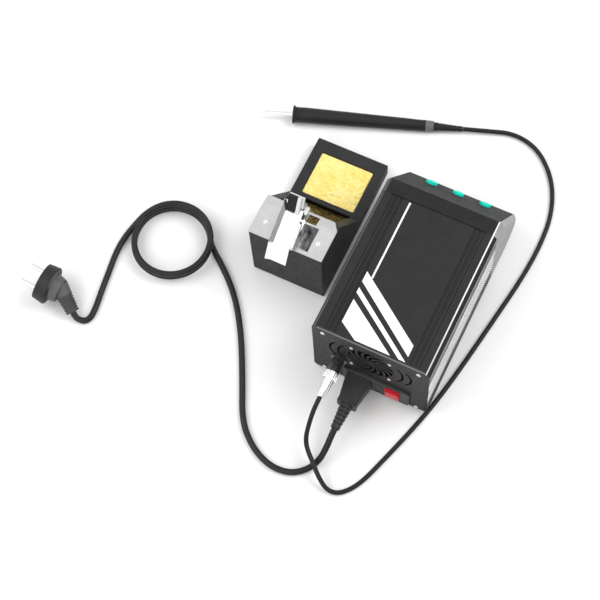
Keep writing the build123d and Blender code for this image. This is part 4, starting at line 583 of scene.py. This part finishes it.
paint(["handle_relief"], moulded("relief_rubber", (0.014, 0.014, 0.015), 0.6, 0.3, 0.03, 1.8))
paint(["cartridge_socket"], moulded("socket_inner", (0.45, 0.42, 0.34), 0.5, 0.6, 0.03, 1.2))
paint(["tip_cartridge"], metal("tip_metal", (0.86, 0.85, 0.83), 0.2, (1, 1, 1), 0.006))
paint(["iron_connector"], metal("connector_metal", (0.93, 0.93, 0.92), 0.14, (1, 0.1, 1), 0.006))
paint(["connector_ring"], metal("ring_chrome", (0.80, 0.80, 0.80), 0.16, (1, 0.1, 1), 0.006))
plug_plastic = moulded("plug_plastic", (0.020, 0.020, 0.021), 0.5, 0.5, 0.04, 2.4)
# painted highlight: the plug's back face painted a lighter grey
plug_plastic.over(plug_plastic.zone(**PLUG_BACK), PLUG_BACK_LIT_GREY)
paint(["mains_plug"], plug_plastic)


def jacket(name, colour, rough):
    """The skin of a cord: fine marks and soft, uneven gloss."""
    shade = moulded(name, colour, rough, 0.4, 0.03, 1.0, 0.25, 0.1)
    shade.bump(shade.noise(6, 2), 0.05)
    return shade


paint(["iron_lead"], jacket("iron_jacket", (0.009, 0.009, 0.010), 0.42))
paint(["power_lead"], jacket("power_jacket", (0.012, 0.012, 0.013), 0.4))


# ---------------------------------------------------------------- mesh helpers
def mesh_object(name, points, faces, smooth=True):
    mesh = bpy.data.meshes.new(name)
    mesh.from_pydata(points, [], faces)
    mesh.update()
    for polygon in mesh.polygons:
        polygon.use_smooth = smooth
    return link(bpy.data.objects.new(name, mesh))


def slab(low, high, counts):
    """Points and faces of a closed box whose sides are divided into a lattice."""
    index, points, faces = {}, [], []

    def spot(cell):
        if cell not in index:
            index[cell] = len(points)
            points.append(Vector(low[k] + (high[k] - low[k]) * cell[k] / counts[k] for k in range(3)))
        return index[cell]

    for axis in range(3):
        first, second = (axis + 1) % 3, (axis + 2) % 3
        for side in (0, counts[axis]):
            for i in range(counts[first]):
                for j in range(counts[second]):
                    corners = []
                    for di, dj in ((0, 0), (1, 0), (1, 1), (0, 1)):
                        cell = [0, 0, 0]
                        cell[axis], cell[first], cell[second] = side, i + di, j + dj
                        corners.append(spot(tuple(cell)))
                    faces.append(corners if side else corners[::-1])
    return points, faces


# ---------------------------------------------------------------- sponge
SPONGE_CELLS = (100, 86, 14)
SPONGE_ROUND = 1.6 * MM         # radius of its upright and top edges
SPONGE_TOP = 0.5 * MM           # how deep the pored layer reaches
SPONGE_WAVE = 0.25 * MM
SPONGE_WAVE_RATE = 120
SPONGE_SINK = 0.2 * MM
PORES = 330
PORE_SPREAD = 1.9
PORE_LEAST = 0.35
dice = random.Random(7)

sponge_low, sponge_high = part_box("sponge")
points, faces = slab(sponge_low, sponge_high, SPONGE_CELLS)
pores = [(dice.uniform(sponge_low.x, sponge_high.x), dice.uniform(sponge_low.y, sponge_high.y),
          dice.uniform(0.35, 1.0) ** 2 * PORE_SPREAD * MM + PORE_LEAST * MM, dice.uniform(0.3, 1.0))
         for _ in range(PORES)]
for point in points:
    inner = Vector(min(max(point[k], sponge_low[k] + SPONGE_ROUND), sponge_high[k] - SPONGE_ROUND)
                   for k in range(3))
    out = point - inner
    if out.length > SPONGE_ROUND and point.z > sponge_low.z + 1e-6:
        point.xyz = inner + out.normalized() * SPONGE_ROUND
    if point.z > sponge_high.z - SPONGE_TOP:
        for x, y, radius, depth in pores:
            gap = math.hypot(point.x - x, point.y - y) / radius
            if gap < 1:
                point.z -= depth * radius * (1 - gap * gap)
        point.z += SPONGE_WAVE * noise.noise(point * SPONGE_WAVE_RATE) - SPONGE_SINK
sponge_block = mesh_object("sponge_block", points, faces)
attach(sponge_block, "sponge")
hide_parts("sponge")

cellulose = Shade("cellulose", Roughness=0.85, Sheen_Weight=0.15,
                  Subsurface_Weight=0.15, Subsurface_Scale=0.002)
tone = cellulose.ramp(cellulose.noise(16, 4), (0.30, (0.97, 0.74, 0.20)), (0.50, (0.98, 0.80, 0.27)),
                      (0.72, (0.99, 0.85, 0.36)))
holes = cellulose.between(cellulose.cells(1.5), 1.0, 0.0, 0.10, 0.30)
shaded_pores = cellulose.maths("MULTIPLY", holes, cellulose.between(cellulose.noise(7, 2), 0.0, 0.75, 0.60, 0.74))
# painted shade: the sunken pores darker and deeper orange
cellulose.colour(cellulose.mixed(shaded_pores, tone, (0.74, 0.47, 0.08)))
cellulose.bump(cellulose.noise(0.8, 4), 0.12)
cellulose.bump(shaded_pores, -0.25)
paint(["sponge_block"], cellulose)

# ---------------------------------------------------------------- brass wool
wool_low, wool_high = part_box("brass_wool")
STRANDS = 300
STRAND_POINTS = 26
STRAND_RADIUS = 0.30 * MM
STRAND_MARGIN = 0.6 * MM
STRAND_STEP = 2.1
STRAND_CURL = (25, 60)          # degrees turned at each point
WOOL_FRONT = 6 * MM             # height at which the cut-off front begins
CORE_CELLS = (40, 30, 18)
CORE_MARGIN = 1.5 * MM
CORE_SINK = 2.0 * MM
CORE_WAVE = 1.6 * MM
CORE_WAVE_RATE = 260
strands = bpy.data.curves.new("wool_strands", "CURVE")
strands.dimensions = "3D"
strands.bevel_depth = STRAND_RADIUS
strands.bevel_resolution = 0
strands.resolution_u = 3


def inside_wool(point, margin):
    """Keeps a point in the wool's space, whose front top edge is cut off."""
    for k in range(3):
        point[k] = min(max(point[k], wool_low[k] + margin), wool_high[k] - margin)
    rise = (point.y - wool_low.y) + wool_low.z + WOOL_FRONT
    point.z = min(point.z, rise)
    return point


for _ in range(STRANDS):
    spline = strands.splines.new("NURBS")
    spline.points.add(STRAND_POINTS - 1)
    place = Vector((dice.uniform(wool_low.x, wool_high.x), dice.uniform(wool_low.y, wool_high.y),
                    wool_high.z - abs(dice.gauss(0, 5)) * MM))
    way = Vector((dice.gauss(0, 1), dice.gauss(0, 1), dice.gauss(0, 0.3))).normalized()
    axis = Vector((dice.gauss(0, 1), dice.gauss(0, 1), dice.gauss(0, 1))).normalized()
    curl = dice.uniform(*STRAND_CURL)
    for spot in spline.points:
        spot.co = (*inside_wool(place.copy(), STRAND_MARGIN), 1.0)
        way = (Matrix.Rotation(math.radians(curl), 3, axis) @ way).normalized()
        axis = (axis + Vector((dice.gauss(0, 0.25), dice.gauss(0, 0.25), dice.gauss(0, 0.25)))).normalized()
        place += way * STRAND_STEP * MM
    spline.order_u = 3
    spline.use_endpoint_u = True
wool_curve = link(bpy.data.objects.new("wool_curve", strands))
bpy.context.view_layer.update()
wool_strands = mesh_of(wool_curve, "wool_strands")
bpy.data.objects.remove(wool_curve)
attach(wool_strands, "stand")

points, faces = slab(wool_low, wool_high, CORE_CELLS)
for point in points:
    inside_wool(point, CORE_MARGIN)
    if point.z > wool_low.z + CORE_SINK:
        point.z -= CORE_SINK + CORE_WAVE * noise.noise(point * CORE_WAVE_RATE)
wool_core = mesh_object("wool_core", points, faces)
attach(wool_core, "stand")
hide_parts("brass_wool")
brass = Shade("wool_brass", Metallic=0.85, Roughness=0.38)
brass.colour(brass.ramp(brass.noise(5, 3), (0.3, (0.07, 0.045, 0.012)), (0.55, (0.22, 0.155, 0.045)),
                        (0.75, (0.42, 0.32, 0.12))))
brass.bump(brass.noise(0.7, 3), 0.2)
paint(["wool_strands", "wool_core"], brass)


# ---------------------------------------------------------------- printed stripes on the top panel
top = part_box("top_panel")[1].z
PRINT = 0.06 * MM       # half the thickness of the print


def plate(name, outline, low, high):
    """A thin flat piece with a polygon outline, in mm, between two heights in metres."""
    count = len(outline)
    ring = [Vector((x * MM, y * MM, height)) for height in (low, high) for x, y in outline]
    sides = [(i, (i + 1) % count, (i + 1) % count + count, i + count) for i in range(count)]
    ends = [tuple(range(count, 2 * count)), tuple(reversed(range(count)))]
    return mesh_object(name, ring, sides + ends, False)


STRIPES = {
    "stripe_thin": [(29.0, -69.5), (30.8, -69.5), (30.8, 19), (29.0, 19)],
    "band_wide": [(37.2, 14.2), (37.2, 25.7), (-34.5, 77.6), (-34.5, 65.3)],
    "band_narrow": [(37.2, 32.6), (37.2, 38.3), (-27.4, 83.6), (-34.4, 83.6)],
    "block": [(36.7, 45.8), (37.1, 71.3), (17.8, 83.6), (-18.5, 83.6)]}
white = Shade("print_white", Roughness=0.5)
white.colour(white.ramp(white.noise(6, 3), (0.3, (0.86, 0.86, 0.86)), (0.7, (0.95, 0.95, 0.95))))
white.rough(white.between(white.noise(2), 0.42, 0.6, *MIDDLE))
for name, outline in STRIPES.items():
    stripe = plate(name, outline, top - PRINT, top + PRINT)
    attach(stripe, "station")
    paint([name], white)

# ---------------------------------------------------------------- floor
FLOOR = 4.0             # half its width, in metres
FLOOR_Z = -0.0002
floor = mesh_object("floor", [(-FLOOR, -FLOOR, FLOOR_Z), (FLOOR, -FLOOR, FLOOR_Z),
                              (FLOOR, FLOOR, FLOOR_Z), (-FLOOR, FLOOR, FLOOR_Z)], [(0, 1, 2, 3)], False)
ground = Shade("ground", Roughness=0.9, Specular_IOR_Level=0.1)
ground.colour(ground.ramp(ground.noise(400, 2), (0.3, (0.90, 0.90, 0.90)), (0.7, (0.93, 0.93, 0.93))))
paint(["floor"], ground)

bpy.context.view_layer.update()
